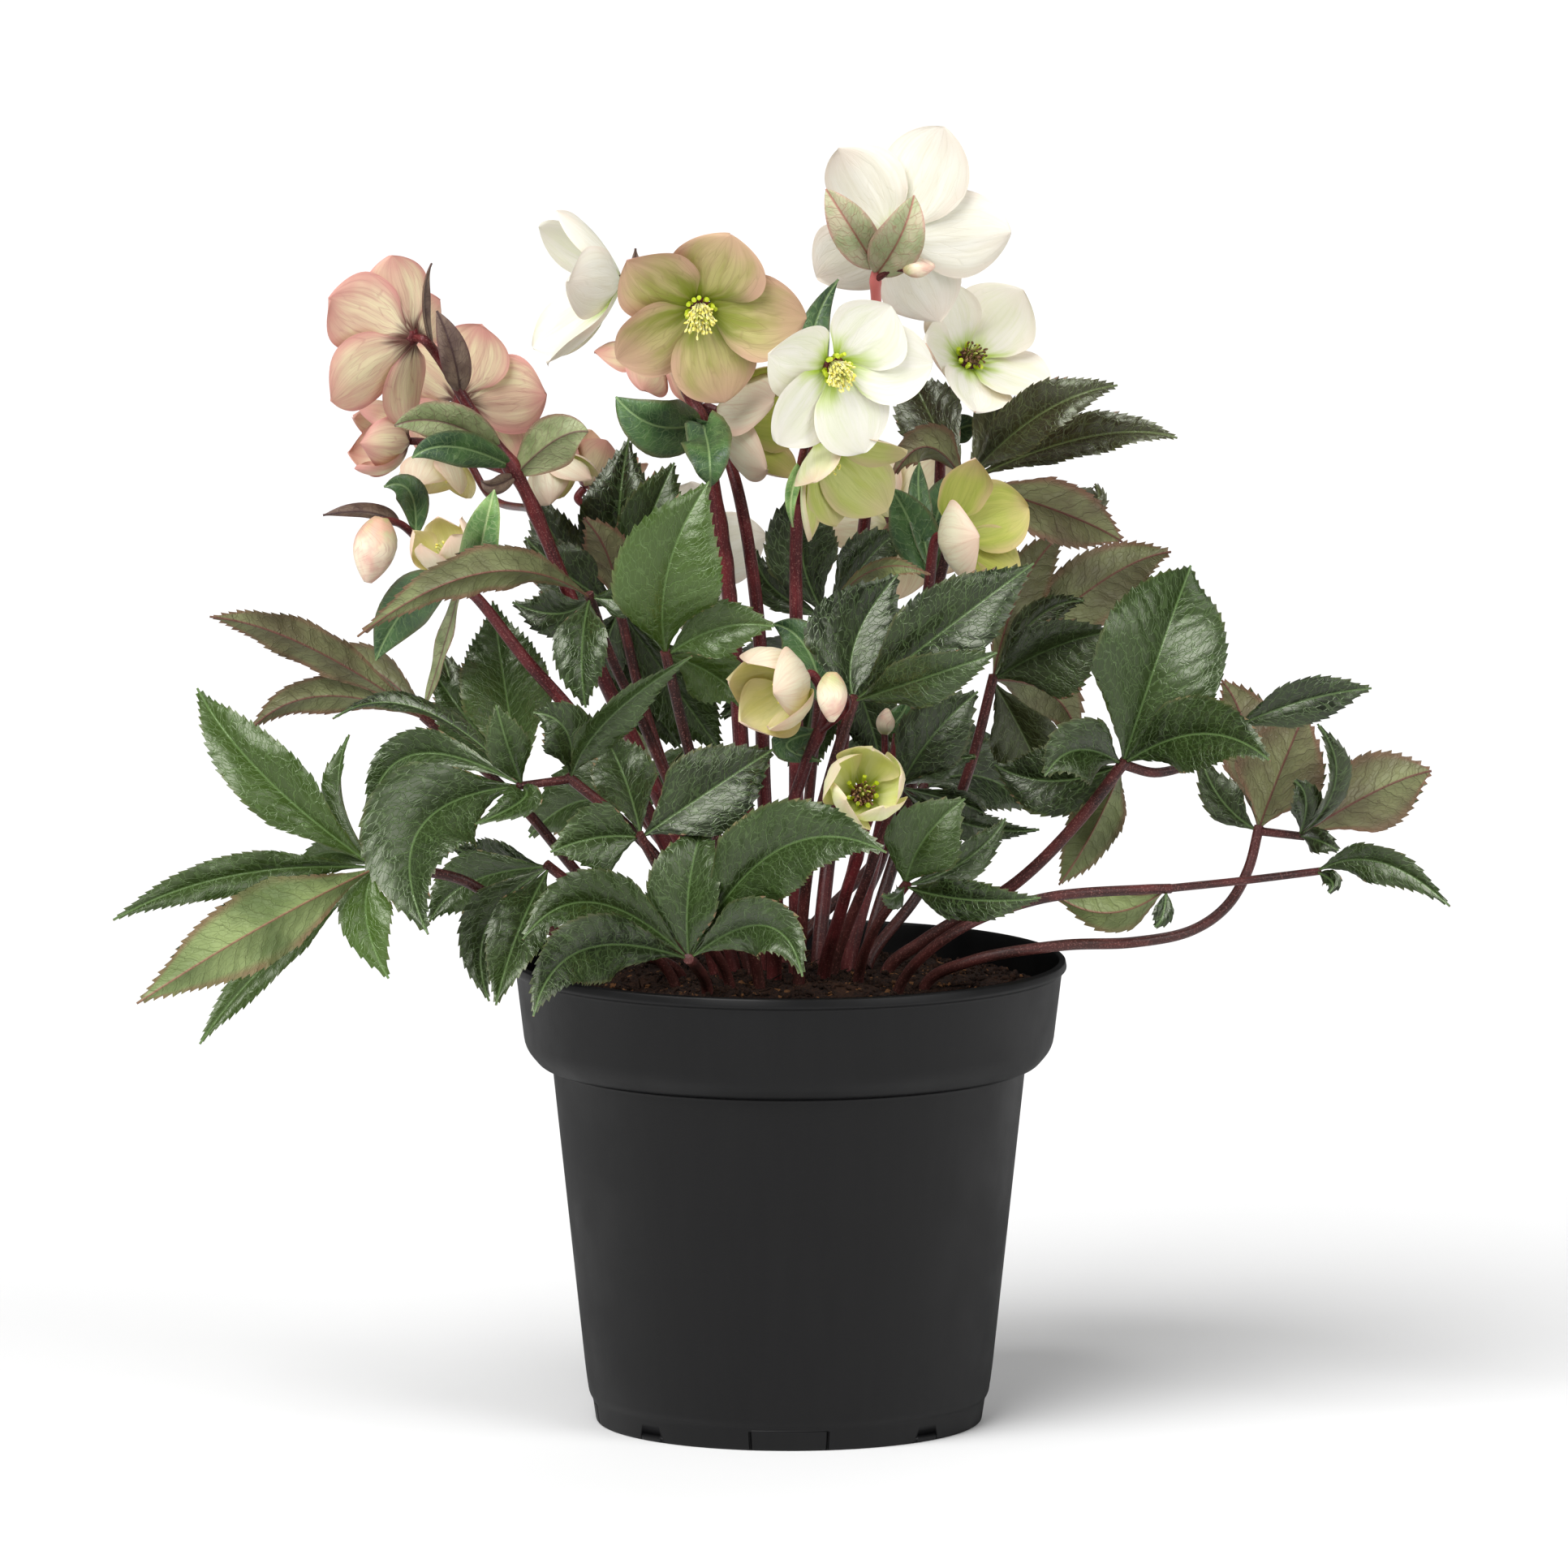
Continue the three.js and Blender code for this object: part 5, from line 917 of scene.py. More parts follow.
def axes(face):
    """The three directions of a bloom that looks along face: forward, up and right."""
    forward = unit(np.array(face, dtype=float))
    up = UP - forward * forward[2]
    if np.linalg.norm(up) < 0.2:
        up = -(TO_VIEWER - forward * (TO_VIEWER @ forward))
    up = unit(up)
    return forward, up, np.cross(up, forward)


def add_turned(mesh, seat, face, profile, kind, tone, sides=20, lobes=None):
    """A turned form square to face, of (radius, height) rings; lobes(turn, share) shapes its section."""
    forward, up, right = axes(face)
    turns = np.arange(sides) * 2 * math.pi / sides
    rings, blade, tones = [], [], []
    for index, (radius, height) in enumerate(profile):
        share = index / (len(profile) - 1)
        wide = radius * (lobes(turns, share) if lobes else np.ones(sides))
        rings.append(seat + forward * height + np.outer(wide * np.cos(turns), up)
                     - np.outer(wide * np.sin(turns), right))
        blade.append(np.column_stack((np.full(sides, height), turns * radius, np.zeros(sides))))
        tones.append(np.broadcast_to((share, tone, tone % 1), (sides, 3)))
    start, end = mesh.count, mesh.count + len(profile) * sides
    mesh.add(np.concatenate(rings), ring_faces(len(profile), sides), kind, np.concatenate(blade),
             np.concatenate(tones))
    mesh.faces += [list(range(start + sides - 1, start - 1, -1)), list(range(end - sides, end))]
    mesh.kinds += [kind] * 2


def add_bud(mesh, seat, face, length, radius, kind):
    """A closed bud of five sepals, each edge wrapped over the next."""
    steps = np.linspace(0, 1, 18)
    swell = np.sin(math.pi * np.clip(steps * 0.9 + 0.06, 0, 1)) ** 0.75 * (1 - 0.25 * steps)
    profile = [(radius * max(0.06, w), length * s - 1.2) for s, w in zip(steps, swell)]

    def wrapped(turns, share):
        lobe = (turns * 5 / (2 * math.pi) + share * 0.8) % 1
        return 1 + 0.05 * (lobe - 0.5) + 0.02 * np.cos(5 * turns)

    add_turned(mesh, seat, face, profile, kind, seat[0] % 1, sides=40, lobes=wrapped)


def pedicel_end(bloom):
    """Where a pedicel meets the back of a receptacle: two points, so that it arrives square to it."""
    forward, _, _ = axes(bloom["face"])
    end = place(bloom["seat"]) - forward * (RECEPTACLE_DEPTH + CLEARANCE)
    return [end - forward * 5, end]


def nearest_share(path, point):
    """The share along a path of its point nearest to another, and that point."""
    shares = np.linspace(0, 1, 61)
    found = [on_curve(path, t) for t in shares]
    gaps = [np.linalg.norm(p - point) for p in found]
    best = int(np.argmin(gaps))
    return shares[best], found[best]


def ground(x, y):
    """The two points that a stem or petiole starts with: its foot in the compost and its collar."""
    height = soil_height(x, y)
    return [np.array((x, y, height - PLANTING_DEPTH)), np.array((x, y, height + 1.0))]


STEM_SKINS = [stem_red, bract_green, bract_fresh, bract_olive, bract_purple, bract_blush, bud_cream]
BRACT_KINDS = {"g": 1, "f": 2, "o": 3, "p": 4, "b": 5}
BUD_KIND = 6

rng = np.random.default_rng(11)
for name, stem in FLOWER_STEMS.items():
    mesh = Mesh()
    above = [place(p) for p in stem["path"]] + pedicel_end(BLOOMS[stem["to"]])
    main = ground(*stem["foot"]) + above
    knots, ways = [], [above]
    for path, radius, end in stem.get("forks", []):
        way = [place(p) for p in path]
        way[0] = nearest_share(above, way[0])[1]
        knots.append((nearest_share(main, way[0])[0], KNOT_SWELLING))
        if end in BLOOMS:
            way += pedicel_end(BLOOMS[end])
        ways.append(way)
        add_tube(mesh, way, radius * 1.1, radius, 0, rng.uniform(), sides=10, step=2)
        if end not in BLOOMS:
            add_bud(mesh, way[-1], *end, BUD_KIND)
    add_tube(mesh, main, stem["radius"], PEDICEL_RADIUS, 0, rng.uniform(), sides=16, knots=knots,
             young=stem.get("young", 0))
    for base, middle, tip, width, roll, fold, skin in stem.get("bracts", []):
        seats = [nearest_share(way, place(base))[1] for way in ways]
        start = min(seats, key=lambda p: np.linalg.norm(p - place(base)))
        kinds = (BRACT_KINDS[skin], BRACT_KINDS[skin])
        add_leaflet(mesh, start, place(middle), place(tip), width, roll, fold, False, kinds, 0, 0, rng)
    mesh.piece(name + "_skin", STEM_SKINS, "flower_stem", [name])


# ---- Leaves -----------------------------------------------------------------------------------------
# Evergreen, leathery leaves on round petioles. Each is divided like a hand into toothed leaflets that
# spread from one hub, some from a second hub on a short arm; some show their paler undersides.

# A tone is how far a leaf has turned from green to bronze, and how flushed with mauve it is beneath. An arm
# leads from the hub to a second hub. A leaflet is its middle and tip, its width, roll and fold, and 1 where
# it springs from the second hub.
LEAVES = {
    "leaf_left_low": dict(
        foot=(-44, -14), radius=2.1, tone=(-0.15, 0.1), hub=(466, 1067, -68),
        stalk=[(760, 1168, -39), (650, 1132, -54), (569, 1081, -63)],
        leaflets=[
            ((328, 954, -64), (246, 846, -40), 27, 12, 12),
            ((424, 985, -54), (434, 903, -48), 13, -50, 25),
            ((288, 1077, -93), (142, 1132, -117), 16, 8, 10),
            ((319, 1143, -111), (171, 1235, -132), 31, 178, 8),
            ((334, 1182, -78), (249, 1285, -87), 15, 20, 10),
            ((454, 1128, -78), (482, 1204, -87), 21, 0, 12),
            ((415, 1048, -45), (366, 1066, -39), 12, 0, 10),
        ]),
    "leaf_left_high": dict(
        foot=(-38, 14), radius=2, tone=(0.3, 0.75), hub=(528, 884, 33),
        stalk=[(740, 1100, 21), (640, 985, 30)],
        leaflets=[
            ((380, 793, 18), (261, 758, 9), 18, 168, 8),
            ((401, 855, 30), (312, 897, 27), 17, 160, 8),
            ((462, 822, 51), (391, 814, 60), 18, 150, 8),
            ((556, 850, 51), (543, 798, 63), 17, 5, 10),
            ((606, 905, 48), (640, 862, 57), 15, 0, 10),
        ]),
    "leaf_left_broad": dict(
        foot=(-26, -25), radius=2.1, tone=(-0.05, 0.3), hub=(706, 958, -66),
        stalk=[(856, 1110, -54), (776, 1016, -66)],
        arm=[(646, 966, -72)],
        leaflets=[
            ((520, 1020, -98), (531, 1150, -126), 45, 14, 14, 1),
            ((512, 928, -51), (458, 1012, -57), 18, 18, 20, 1),
            ((626, 850, 3), (610, 738, 15), 36, 4, 10, 1),
            ((585, 892, 9), (537, 826, 21), 24, 8, 10, 1),
            ((628, 915, -84), (614, 866, -87), 17, 4, 12, 1),
            ((520, 872, -27), (413, 884, -33), 12, 62, 12, 1),
            ((645, 985, -84), (588, 1014, -99), 14, 24, 16, 1),
            ((752, 884, -90), (856, 806, -111), 17, 24, 18),
            ((700, 898, -78), (660, 876, -78), 22, 8, 12),
        ]),
    "leaf_left_rim": dict(
        foot=(-46, -30), radius=2, tone=(0.0, 0.2), hub=(680, 1066, -66),
        stalk=[(760, 1130, -54)],
        leaflets=[
            ((640, 1150, -90), (614, 1237, -108), 23, 10, 14),
            ((585, 1084, -39), (532, 1134, -42), 23, 10, 12),
            ((604, 1138, -66), (606, 1232, -78), 21, 10, 12),
            ((618, 1060, -36), (560, 1040, -30), 20, -10, 10),
        ]),
    "leaf_left_stem": dict(
        foot=(-16, -12), radius=2, tone=(0.15, 0.6), hub=(730, 734, -33),
        stalk=[(868, 1060, -12), (800, 900, -16), (757, 810, -24)],
        leaflets=[
            ((600, 703, -72), (443, 783, -63), 20, 162, 10),
            ((720, 800, -51), (725, 870, -54), 22, 14, 14),
            ((772, 738, -39), (806, 742, -39), 13, 10, 12),
            ((690, 754, -6), (634, 740, 3), 19, 10, 10),
        ]),
    "leaf_centre_back": dict(
        foot=(-14, 18), radius=2.1, tone=(0.1, 0.9), hub=(766, 748, 36),
        stalk=[(862, 1050, 27), (800, 880, 33)],
        leaflets=[
            ((765, 640, 51), (778, 538, 60), 31, -8, 10),
            ((752, 682, 24), (722, 636, 24), 20, 170, 8),
            ((700, 705, 30), (650, 660, 36), 24, 6, 10),
            ((800, 728, 21), (826, 690, 18), 18, 0, 10),
            ((745, 800, 45), (722, 850, 51), 22, 8, 10),
            ((796, 840, 66), (842, 920, 78), 31, 5, 10),
            ((836, 846, 60), (892, 925, 69), 27, 8, 10),
            ((802, 642, 36), (834, 568, 42), 24, 4, 10),
            ((694, 672, 48), (664, 604, 57), 19, 10, 10),
        ]),
    "leaf_centre_bright": dict(
        foot=(-12, -36), radius=2.2, tone=(-0.12, 0.0), hub=(824, 806, -69),
        stalk=[(905, 1090, -57), (853, 926, -60)],
        leaflets=[
            ((826, 700, -90), (877, 591, -84), 43, 4, 10),
            ((890, 772, -78), (957, 770, -81), 22, -8, 12),
            ((880, 828, -48), (918, 866, -45), 23, 0, 10),
        ]),
    "leaf_centre_low": dict(
        foot=(-24, -37), radius=2, tone=(0.0, 0.2), hub=(793, 1030, -93),
        stalk=[(838, 1110, -81)],
        leaflets=[
            ((878, 972, -94), (956, 921, -84), 34, -10, 10),
            ((772, 955, -48), (744, 900, -48), 25, 8, 10),
            ((738, 1030, -99), (681, 1048, -105), 27, 6, 12),
        ]),
    "leaf_front": dict(
        foot=(-33, -50), radius=2.2, tone=(0.0, 0.2), hub=(852, 1180, -99),
        stalk=[(860, 1188, -76)],
        leaflets=[
            ((852, 1092, -106), (872, 1008, -90), 30, -18, 18),
            ((964, 1044, -134), (1096, 1049, -168), 36, -16, 10),
            ((945, 1138, -132), (992, 1202, -153), 25, 4, 14),
            ((735, 1110, -126), (647, 1156, -148), 26, 16, 12),
            ((722, 1168, -150), (660, 1251, -183), 27, 0, 14),
        ]),
    "leaf_right_centre": dict(
        foot=(4, -34), radius=2.2, tone=(0.0, 0.3), hub=(1055, 862, -75),
        stalk=[(1000, 1060, -54), (1030, 940, -69)],
        leaflets=[
            ((1058, 785, -60), (1110, 705, -54), 42, 4, 10),
            ((1170, 772, -92), (1277, 692, -84), 34, -12, 10),
            ((1145, 832, -114), (1232, 802, -126), 21, 6, 12),
        ]),
    "leaf_centre_dark": dict(
        foot=(2, 28), radius=2, tone=(0.1, 0.5), hub=(1022, 760, 21),
        stalk=[(1000, 980, 30)],
        leaflets=[
            ((990, 668, 18), (1018, 590, 21), 29, 0, 10),
            ((1078, 702, -21), (1150, 706, -33), 13, 128, 12),
            ((1070, 690, 36), (1108, 655, 45), 22, 0, 10),
            ((955, 722, 27), (934, 674, 30), 14, 0, 10),
            ((958, 824, 78), (890, 884, 90), 30, 6, 10),
            ((1062, 850, 27), (1090, 944, 32), 28, -6, 10),
            ((1002, 870, 62), (985, 975, 70), 25, 4, 10),
        ]),
    "leaf_right_inner": dict(
        foot=(18, -8), radius=2, tone=(0.0, 0.3), hub=(1112, 968, -21),
        stalk=[(1075, 1070, -18)],
        leaflets=[
            ((1152, 905, -27), (1208, 850, -21), 28, 2, 10),
            ((1180, 985, -6), (1216, 1000, -3), 14, 20, 14),
            ((1160, 940, 12), (1206, 930, 18), 12, 10, 12),
            ((1190, 1012, 14), (1284, 1020, 22), 13, 6, 12),
        ]),
    "leaf_right_low": dict(
        foot=(28, -34), radius=2, tone=(-0.06, 0.3), hub=(1118, 1090, -66),
        stalk=[(1082, 1140, -57)],
        leaflets=[
            ((1142, 1032, -72), (1192, 982, -69), 31, 2, 10),
            ((1196, 1106, -99), (1286, 1104, -120), 17, 4, 12),
            ((1104, 1104, -93), (1090, 1100, -105), 9, 10, 10),
            ((1192, 1058, -54), (1242, 1006, -45), 15, 10, 12),
        ]),
    "leaf_right_brown": dict(
        foot=(32, 16), radius=2.1, tone=(0.35, 0.7), hub=(1226, 836, 39),
        stalk=[(1140, 1090, 36), (1198, 943, 36)],
        leaflets=[
            ((1302, 795, 27), (1380, 774, 18), 35, 18, 22),
            ((1268, 912, 54), (1300, 985, 60), 28, 6, 12),
            ((1296, 852, 69), (1330, 905, 75), 25, 172, 8),
            ((1350, 722, 66), (1446, 678, 66), 29, 166, 8),
            ((1262, 722, 60), (1316, 652, 63), 21, 168, 8),
            ((1280, 760, 45), (1340, 738, 42), 14, 10, 10),
        ]),
    "leaf_right_glossy": dict(
        foot=(40, -6), radius=2.4, tone=(0.0, 0.4), hub=(1386, 940, -42),
        stalk=[(1140, 1158, -12), (1256, 1085, -24), (1330, 1012, -33)],
        arm=[(1430, 950, -33), (1490, 928, -21), (1520, 896, -18)],
        leaflets=[
            ((1431, 804, -52), (1470, 695, -22), 52, 2, 16),
            ((1484, 902, -74), (1568, 936, -108), 30, -14, 12),
            ((1330, 922, -63), (1290, 955, -75), 26, 4, 14),
            ((1300, 960, -18), (1228, 940, -9), 28, 8, 10),
            ((1350, 1020, 0), (1308, 1088, -6), 21, 172, 8),
            ((1610, 861, -21), (1693, 846, -15), 19, 8, 10, 1),
        ]),
    "leaf_right_creeping": dict(
        foot=(44, -46), radius=2, tone=(0.1, 0.3), hub=(1440, 1093, -46),
        stalk=[(1180, 1146, -69), (1283, 1106, -66), (1412, 1094, -51)],
        arm=[(1535, 1083, -27), (1624, 1072, -15)],
        leaflets=[
            ((1703, 1060, -27), (1790, 1115, -45), 16, 12, 14, 1),
            ((1644, 1084, -24), (1640, 1098, -27), 8, 0, 10, 1),
            ((1372, 1122, -36), (1306, 1102, -27), 18, 170, 10),
            ((1436, 1124, -51), (1426, 1140, -51), 8, 0, 10),
        ]),
    "leaf_right_far": dict(
        foot=(55, -27), radius=2.1, tone=(0.15, 0.85), hub=(1553, 1022, 15),
        stalk=[(1200, 1182, -39), (1310, 1163, -36), (1400, 1159, -27), (1470, 1145, -15),
               (1514, 1115, -3), (1541, 1069, 9)],
        arm=[(1604, 1028, 18)],
        leaflets=[
            ((1508, 984, 21), (1482, 930, 27), 16, 18, 12),
            ((1582, 945, 18), (1613, 872, 21), 36, 176, 6),
            ((1540, 905, 45), (1508, 836, 54), 26, 168, 8),
            ((1648, 960, 0), (1626, 890, 0), 13, 40, 16, 1),
            ((1700, 972, 21), (1767, 948, 24), 31, 172, 8, 1),
            ((1612, 985, 3), (1598, 960, 3), 13, 10, 12, 1),
            ((1630, 1034, 3), (1652, 1046, 0), 10, 0, 12, 1),
        ]),
    "leaf_top_right": dict(
        foot=(32, 34), radius=2.4, tone=(0.55, 0.9), hub=(1192, 592, 39),
        stalk=[(1120, 1000, 57), (1150, 760, 54)],
        leaflets=[
            ((1284, 509, -9), (1380, 473, -15), 22, -26, 14),
            ((1342, 537, 6), (1454, 538, -9), 18, -30, 14),
            ((1148, 508, 66), (1128, 464, 72), 27, 0, 10),
            ((1226, 520, 63), (1222, 474, 69), 17, 0, 10),
            ((1146, 548, 21), (1104, 584, 15), 19, 164, 8),
            ((1312, 630, 33), (1386, 666, 27), 25, 168, 8),
            ((1330, 618, 66), (1352, 594, 72), 13, 0, 10),
        ]),
    "leaf_back_left": dict(
        foot=(-24, 42), radius=2.1, tone=(0.0, 0.3), hub=(790, 1000, 105),
        stalk=[(850, 1080, 70)],
        leaflets=[
            ((720, 985, 112), (655, 1030, 122), 31, 30, 12),
            ((745, 950, 138), (700, 950, 172), 32, 70, 12),
            ((800, 935, 146), (806, 950, 183), 34, 120, 12),
            ((852, 965, 128), (905, 1000, 150), 31, -50, 12),
        ]),
    "leaf_back_right": dict(
        foot=(2, 46), radius=2.1, tone=(0.0, 0.3), hub=(1140, 970, 112),
        stalk=[(1080, 1060, 78)],
        leaflets=[
            ((1210, 955, 118), (1280, 1000, 128), 31, -30, 12),
            ((1188, 918, 142), (1236, 920, 176), 33, -70, 12),
            ((1130, 905, 150), (1124, 920, 183), 34, -120, 12),
            ((1076, 940, 134), (1020, 980, 156), 31, 50, 12),
        ]),
}

OLIVE_FROM = 0.08  # the tone from which a leaf counts as olive


def past(points, distance):
    """The same points with the last one moved on, so that what joins there sinks well in."""
    step = points[-1] - points[-2] if len(points) > 1 else UP
    return points[:-1] + [points[-1] + unit(step) * distance]


def leaf_face():
    """The upper face of a hellebore leaf: leathery, glossy, deep green, with a net of sunken veins."""
    look = Look("leaf_upper_glossy")
    blade, along, sideways, edge = look.attribute("blade")
    _, age, _, seed = look.attribute("tone")
    midrib, side, net, pillow = veins(look, blade, along, sideways, edge, seed, spacing=8.0)
    place = look.place()
    clouds = look.noise(place, 48, 3.0)
    mottle = look.noise(place, 420, 3.0)
    base = look.mix(look.band(clouds, 0.3, 0.7), "#091004", "#1b2709")
    base = look.mix(look.band(seed, 0.3, 1.0, 0, 0.45), base, "#30431a")
    base = look.mix(look.band(age, 0.0, -0.25, 0, 0.5), base, "#506e20")
    base = look.mix(look.band(mottle, 0.4, 0.75, 0, 0.16), base, "#3a5420")
    base = look.mix(look.band(age, 0.1, 1.0, 0, 0.9), base, "#3b2c20")
    pale = look.mix(look.band(age, 0.2, 1.0), "#86a866", "#85704e")
    vein = look.most(look.times(side, 0.21), look.times(net, 0.12))
    vein = look.most(vein, look.times(midrib, 0.3))
    base = look.mix(vein, base, pale)
    tips = look.times(look.band(edge, 0.93, 1.0), look.band(clouds, 0.4, 0.6))
    base = look.mix(look.times(tips, 0.4), base, "#5c5a34")
    sunk = look.less(look.times(mottle, 0.12), look.plus(look.times(side, 0.4), look.times(net, 0.25)))
    sunk = look.plus(sunk, look.times(pillow, 0.7))
    return look.finish(base, look.band(clouds, 0.3, 0.7, 0.27, 0.39), level=0.65,
                       bump=look.bump(sunk, 0.00036, 0.8), more={"Specular Tint": (0.94, 1.0, 0.82, 1.0)})


def leaf_back():
    """The underside of a hellebore leaf: matt, paler, olive to mauve, with raised dark veins."""
    look = Look("leaf_underside_matt")
    blade, along, sideways, edge = look.attribute("blade")
    _, _, flush, seed = look.attribute("tone")
    midrib, side, net, pillow = veins(look, blade, along, sideways, edge, seed, spacing=8.0)
    place = look.place()
    clouds = look.noise(place, 40, 3.0)
    base = look.mix(look.band(clouds, 0.3, 0.7), "#5f7340", "#8b9c62")
    mauve = look.mix(clouds, "#4c3a2c", "#7c6854")
    base = look.mix(look.times(look.band(clouds, 0.75, 0.25, 0.55, 1.0), flush), base, mauve)
    rosy = look.times(look.band(edge, 0.7, 1.0), look.band(clouds, 0.35, 0.6, 0.2, 0.7))
    base = look.mix(rosy, base, "#7d4a40")
    vein = look.most(look.times(side, 0.4), look.times(net, 0.16))
    base = look.mix(vein, base, look.mix(flush, "#6f7a48", "#4a2c28"))
    rib = look.mix(flush, "#9a6a58", "#5e2229")
    base = look.mix(look.times(midrib, 0.8), base, rib)
    raised = look.plus(look.times(side, 0.8), look.times(net, 0.4))
    raised = look.less(raised, pillow)
    return look.finish(base, 0.5, level=0.4, bump=look.bump(raised, 0.0004, 0.8), sheet=0.12)


petiole_brown = stem_skin("petiole_brown_waxy", "#2c1210", "#50201e", "#180908")
leaf_upper = leaf_face()
leaf_under = leaf_back()

for name, leaf in LEAVES.items():
    mesh = Mesh()
    radius, (age, flush) = leaf["radius"], leaf["tone"]
    hubs = [place(leaf["hub"])]
    stalk = ground(*leaf["foot"]) + past([place(p) for p in leaf["stalk"]] + hubs, radius)
    add_tube(mesh, stalk, radius * 1.15, radius, 0, rng.uniform(), sides=12)
    if "arm" in leaf:
        arm = hubs + [place(p) for p in leaf["arm"]]
        hubs.append(arm[-1])
        add_tube(mesh, past(arm, radius), radius * 0.85, radius * 0.8, 0, rng.uniform(), sides=10)
    for middle, tip, width, roll, fold, *second_hub in leaf["leaflets"]:
        add_leaflet(mesh, hubs[len(second_hub)], place(middle), place(tip), width, roll, fold, True, (1, 2),
                    age + rng.uniform(-0.08, 0.12), flush, rng)
    slot = "leaf_olive" if age > OLIVE_FROM else "leaf_green"
    mesh.piece(name + "_blades", [petiole_brown, leaf_upper, leaf_under], slot, [name])


# ---- Blooms -----------------------------------------------------------------------------------------
# Five broad sepals overlap round a ring of green nectaries, a boss of cream stamens and a few styles.
# They sit on a small receptacle at the end of a pedicel, and are soft, slightly see-through and veined.
SEPAL_ROLL = math.radians(9)
SEPAL_SHELL = 0.38  # half the thickness of a sepal
SEPAL_FOOT = (2.2, -1.8)  # how far out of the bloom's axis and behind its seat a sepal springs
SEPAL_ACROSS = np.sin(np.linspace(-math.pi / 2, math.pi / 2, 19))
SEPAL_ALONG = 1 - (1 - np.linspace(0.01, 0.985, 24)) ** 1.5


def sepal_width(s):
    return np.sin(math.pi * s ** 1.2) ** (0.5 + 0.2 * s) * np.minimum(1, 0.4 + 2.2 * s)


def add_sepal(mesh, seat, face, angle, length, width, rise, flare, cup, rng):
    """One sepal: a curved, cupped and slightly ruffled blade."""
    forward, up, right = axes(face)
    turn = math.radians(angle)
    outward = up * math.cos(turn) + right * math.sin(turn)
    start, bend = math.radians(rise), math.radians(flare - rise)
    shares = SEPAL_ALONG
    lean = start + bend * shares
    out = SEPAL_FOOT[0] + length * (math.cos(start) - np.cos(lean)) / bend
    along = SEPAL_FOOT[1] + length * (np.sin(lean) - math.sin(start)) / bend
    tangents = np.outer(np.sin(lean), outward) + np.outer(np.cos(lean), forward)
    side = np.cross(outward, forward)
    twist = -SEPAL_ROLL * np.minimum(1, 3 * shares)[:, None]
    across = side * np.cos(twist) + np.cross(tangents, side) * np.sin(twist)
    normals = np.cross(across, tangents)
    half = np.maximum(width / 2 * sepal_width(shares), 0.6)[:, None]
    v = SEPAL_ACROSS[None, :]
    s = shares[:, None]
    lopsided, nick, start_wave = rng.uniform(-0.06, 0.06), rng.uniform(9, 14), rng.uniform(0, 6)
    half = half * (1 + lopsided * v + 0.018 * np.abs(v) ** 4 * np.sin(nick * s + start_wave))
    ruffle = 1.3 * np.abs(v) ** 3 * np.sin(s * rng.uniform(5, 9) + rng.uniform(0, 6) + (v > 0) * 2) * s
    crest = -0.5 * np.exp(-(v / 0.16) ** 2) * np.sin(math.pi * s)
    pout = 1.2 * s ** 3 * (1 - v ** 2) * rng.uniform(-1, 1)
    crest = crest + 0.16 * np.sin(v * rng.uniform(11, 15)) * np.sin(math.pi * s)
    height = half * v ** 2 * cup + ruffle + crest + pout
    surface = (seat + np.outer(out, outward) + np.outer(along, forward))[:, None]
    surface = surface + across[:, None] * (half * v)[..., None] + normals[:, None] * height[..., None]
    shell = (SEPAL_SHELL * (1 - v ** 4) * np.ones_like(s))[..., None] * normals[:, None]
    run = s * length * np.ones_like(v)
    blade = np.stack((run, half * v, np.abs(v) * np.ones_like(s)), -1)
    tone = np.stack((s * np.ones_like(v), v * np.ones_like(s), np.full(run.shape, rng.uniform())), -1)
    add_sheet(mesh, surface + shell, surface - shell, (0, 1), blade, tone)


def sepal_skin(name, foot_code, body_code, streak_code, edge_code, vein_code,
               foot=0.3, streak=0.6, rim=0.7, vein=0.3, sheet=0.35, rim_start=0.6):
    """A sepal's face: streaks, fibres and joining veins fan out from its foot to a flushed edge."""
    look = Look(name)
    _, along, _, edge = look.attribute("blade")
    _, share, fan, seed = look.attribute("tone")
    drift = look.less(look.noise(look.place(), 60, 2.0), 0.5)
    offset = look.times(seed, 30.0)

    def fanned(lengthwise, across):
        side = look.plus(look.times(fan, across), drift)
        return look.vector(look.times(along, lengthwise), side, offset)

    broad = look.noise(fanned(0.03, 2.4), 1.0, 3.0)
    fibres = look.noise(fanned(0.05, 13.0), 1.0, 3.0)
    cells = look.add("TexVoronoi", {"Vector": fanned(0.05, 6.4), "Scale": 1.0}, feature="DISTANCE_TO_EDGE")
    line = look.band(cells.outputs["Distance"], 0.05, 0.0, 0, 0.8)
    base = look.mix(look.band(broad, 0.4, 0.62, 0, streak), body_code, streak_code)
    base = look.mix(look.band(fibres, 0.45, 0.75, 0, 0.35), base, vein_code)
    reach = look.plus(look.most(edge, look.less(share, 0.02)), look.times(drift, 0.5))
    base = look.mix(look.band(reach, rim_start, 1.02, 0, rim), base, edge_code)
    near = look.less(share, look.times(look.less(broad, 0.5), 0.5))
    base = look.mix(look.band(near, foot, 0.04), base, foot_code)
    lines = look.times(line, look.band(share, 1.0, 0.3, 0.25 * vein, vein))
    base = look.mix(lines, base, vein_code)
    relief = look.less(look.times(fibres, 0.8), look.times(line, 0.4))
    return look.finish(base, 0.5, bump=look.bump(relief, 0.00035, 0.5), sheet=sheet,
                       more={"Sheen Weight": 0.1, "Sheen Roughness": 0.4})


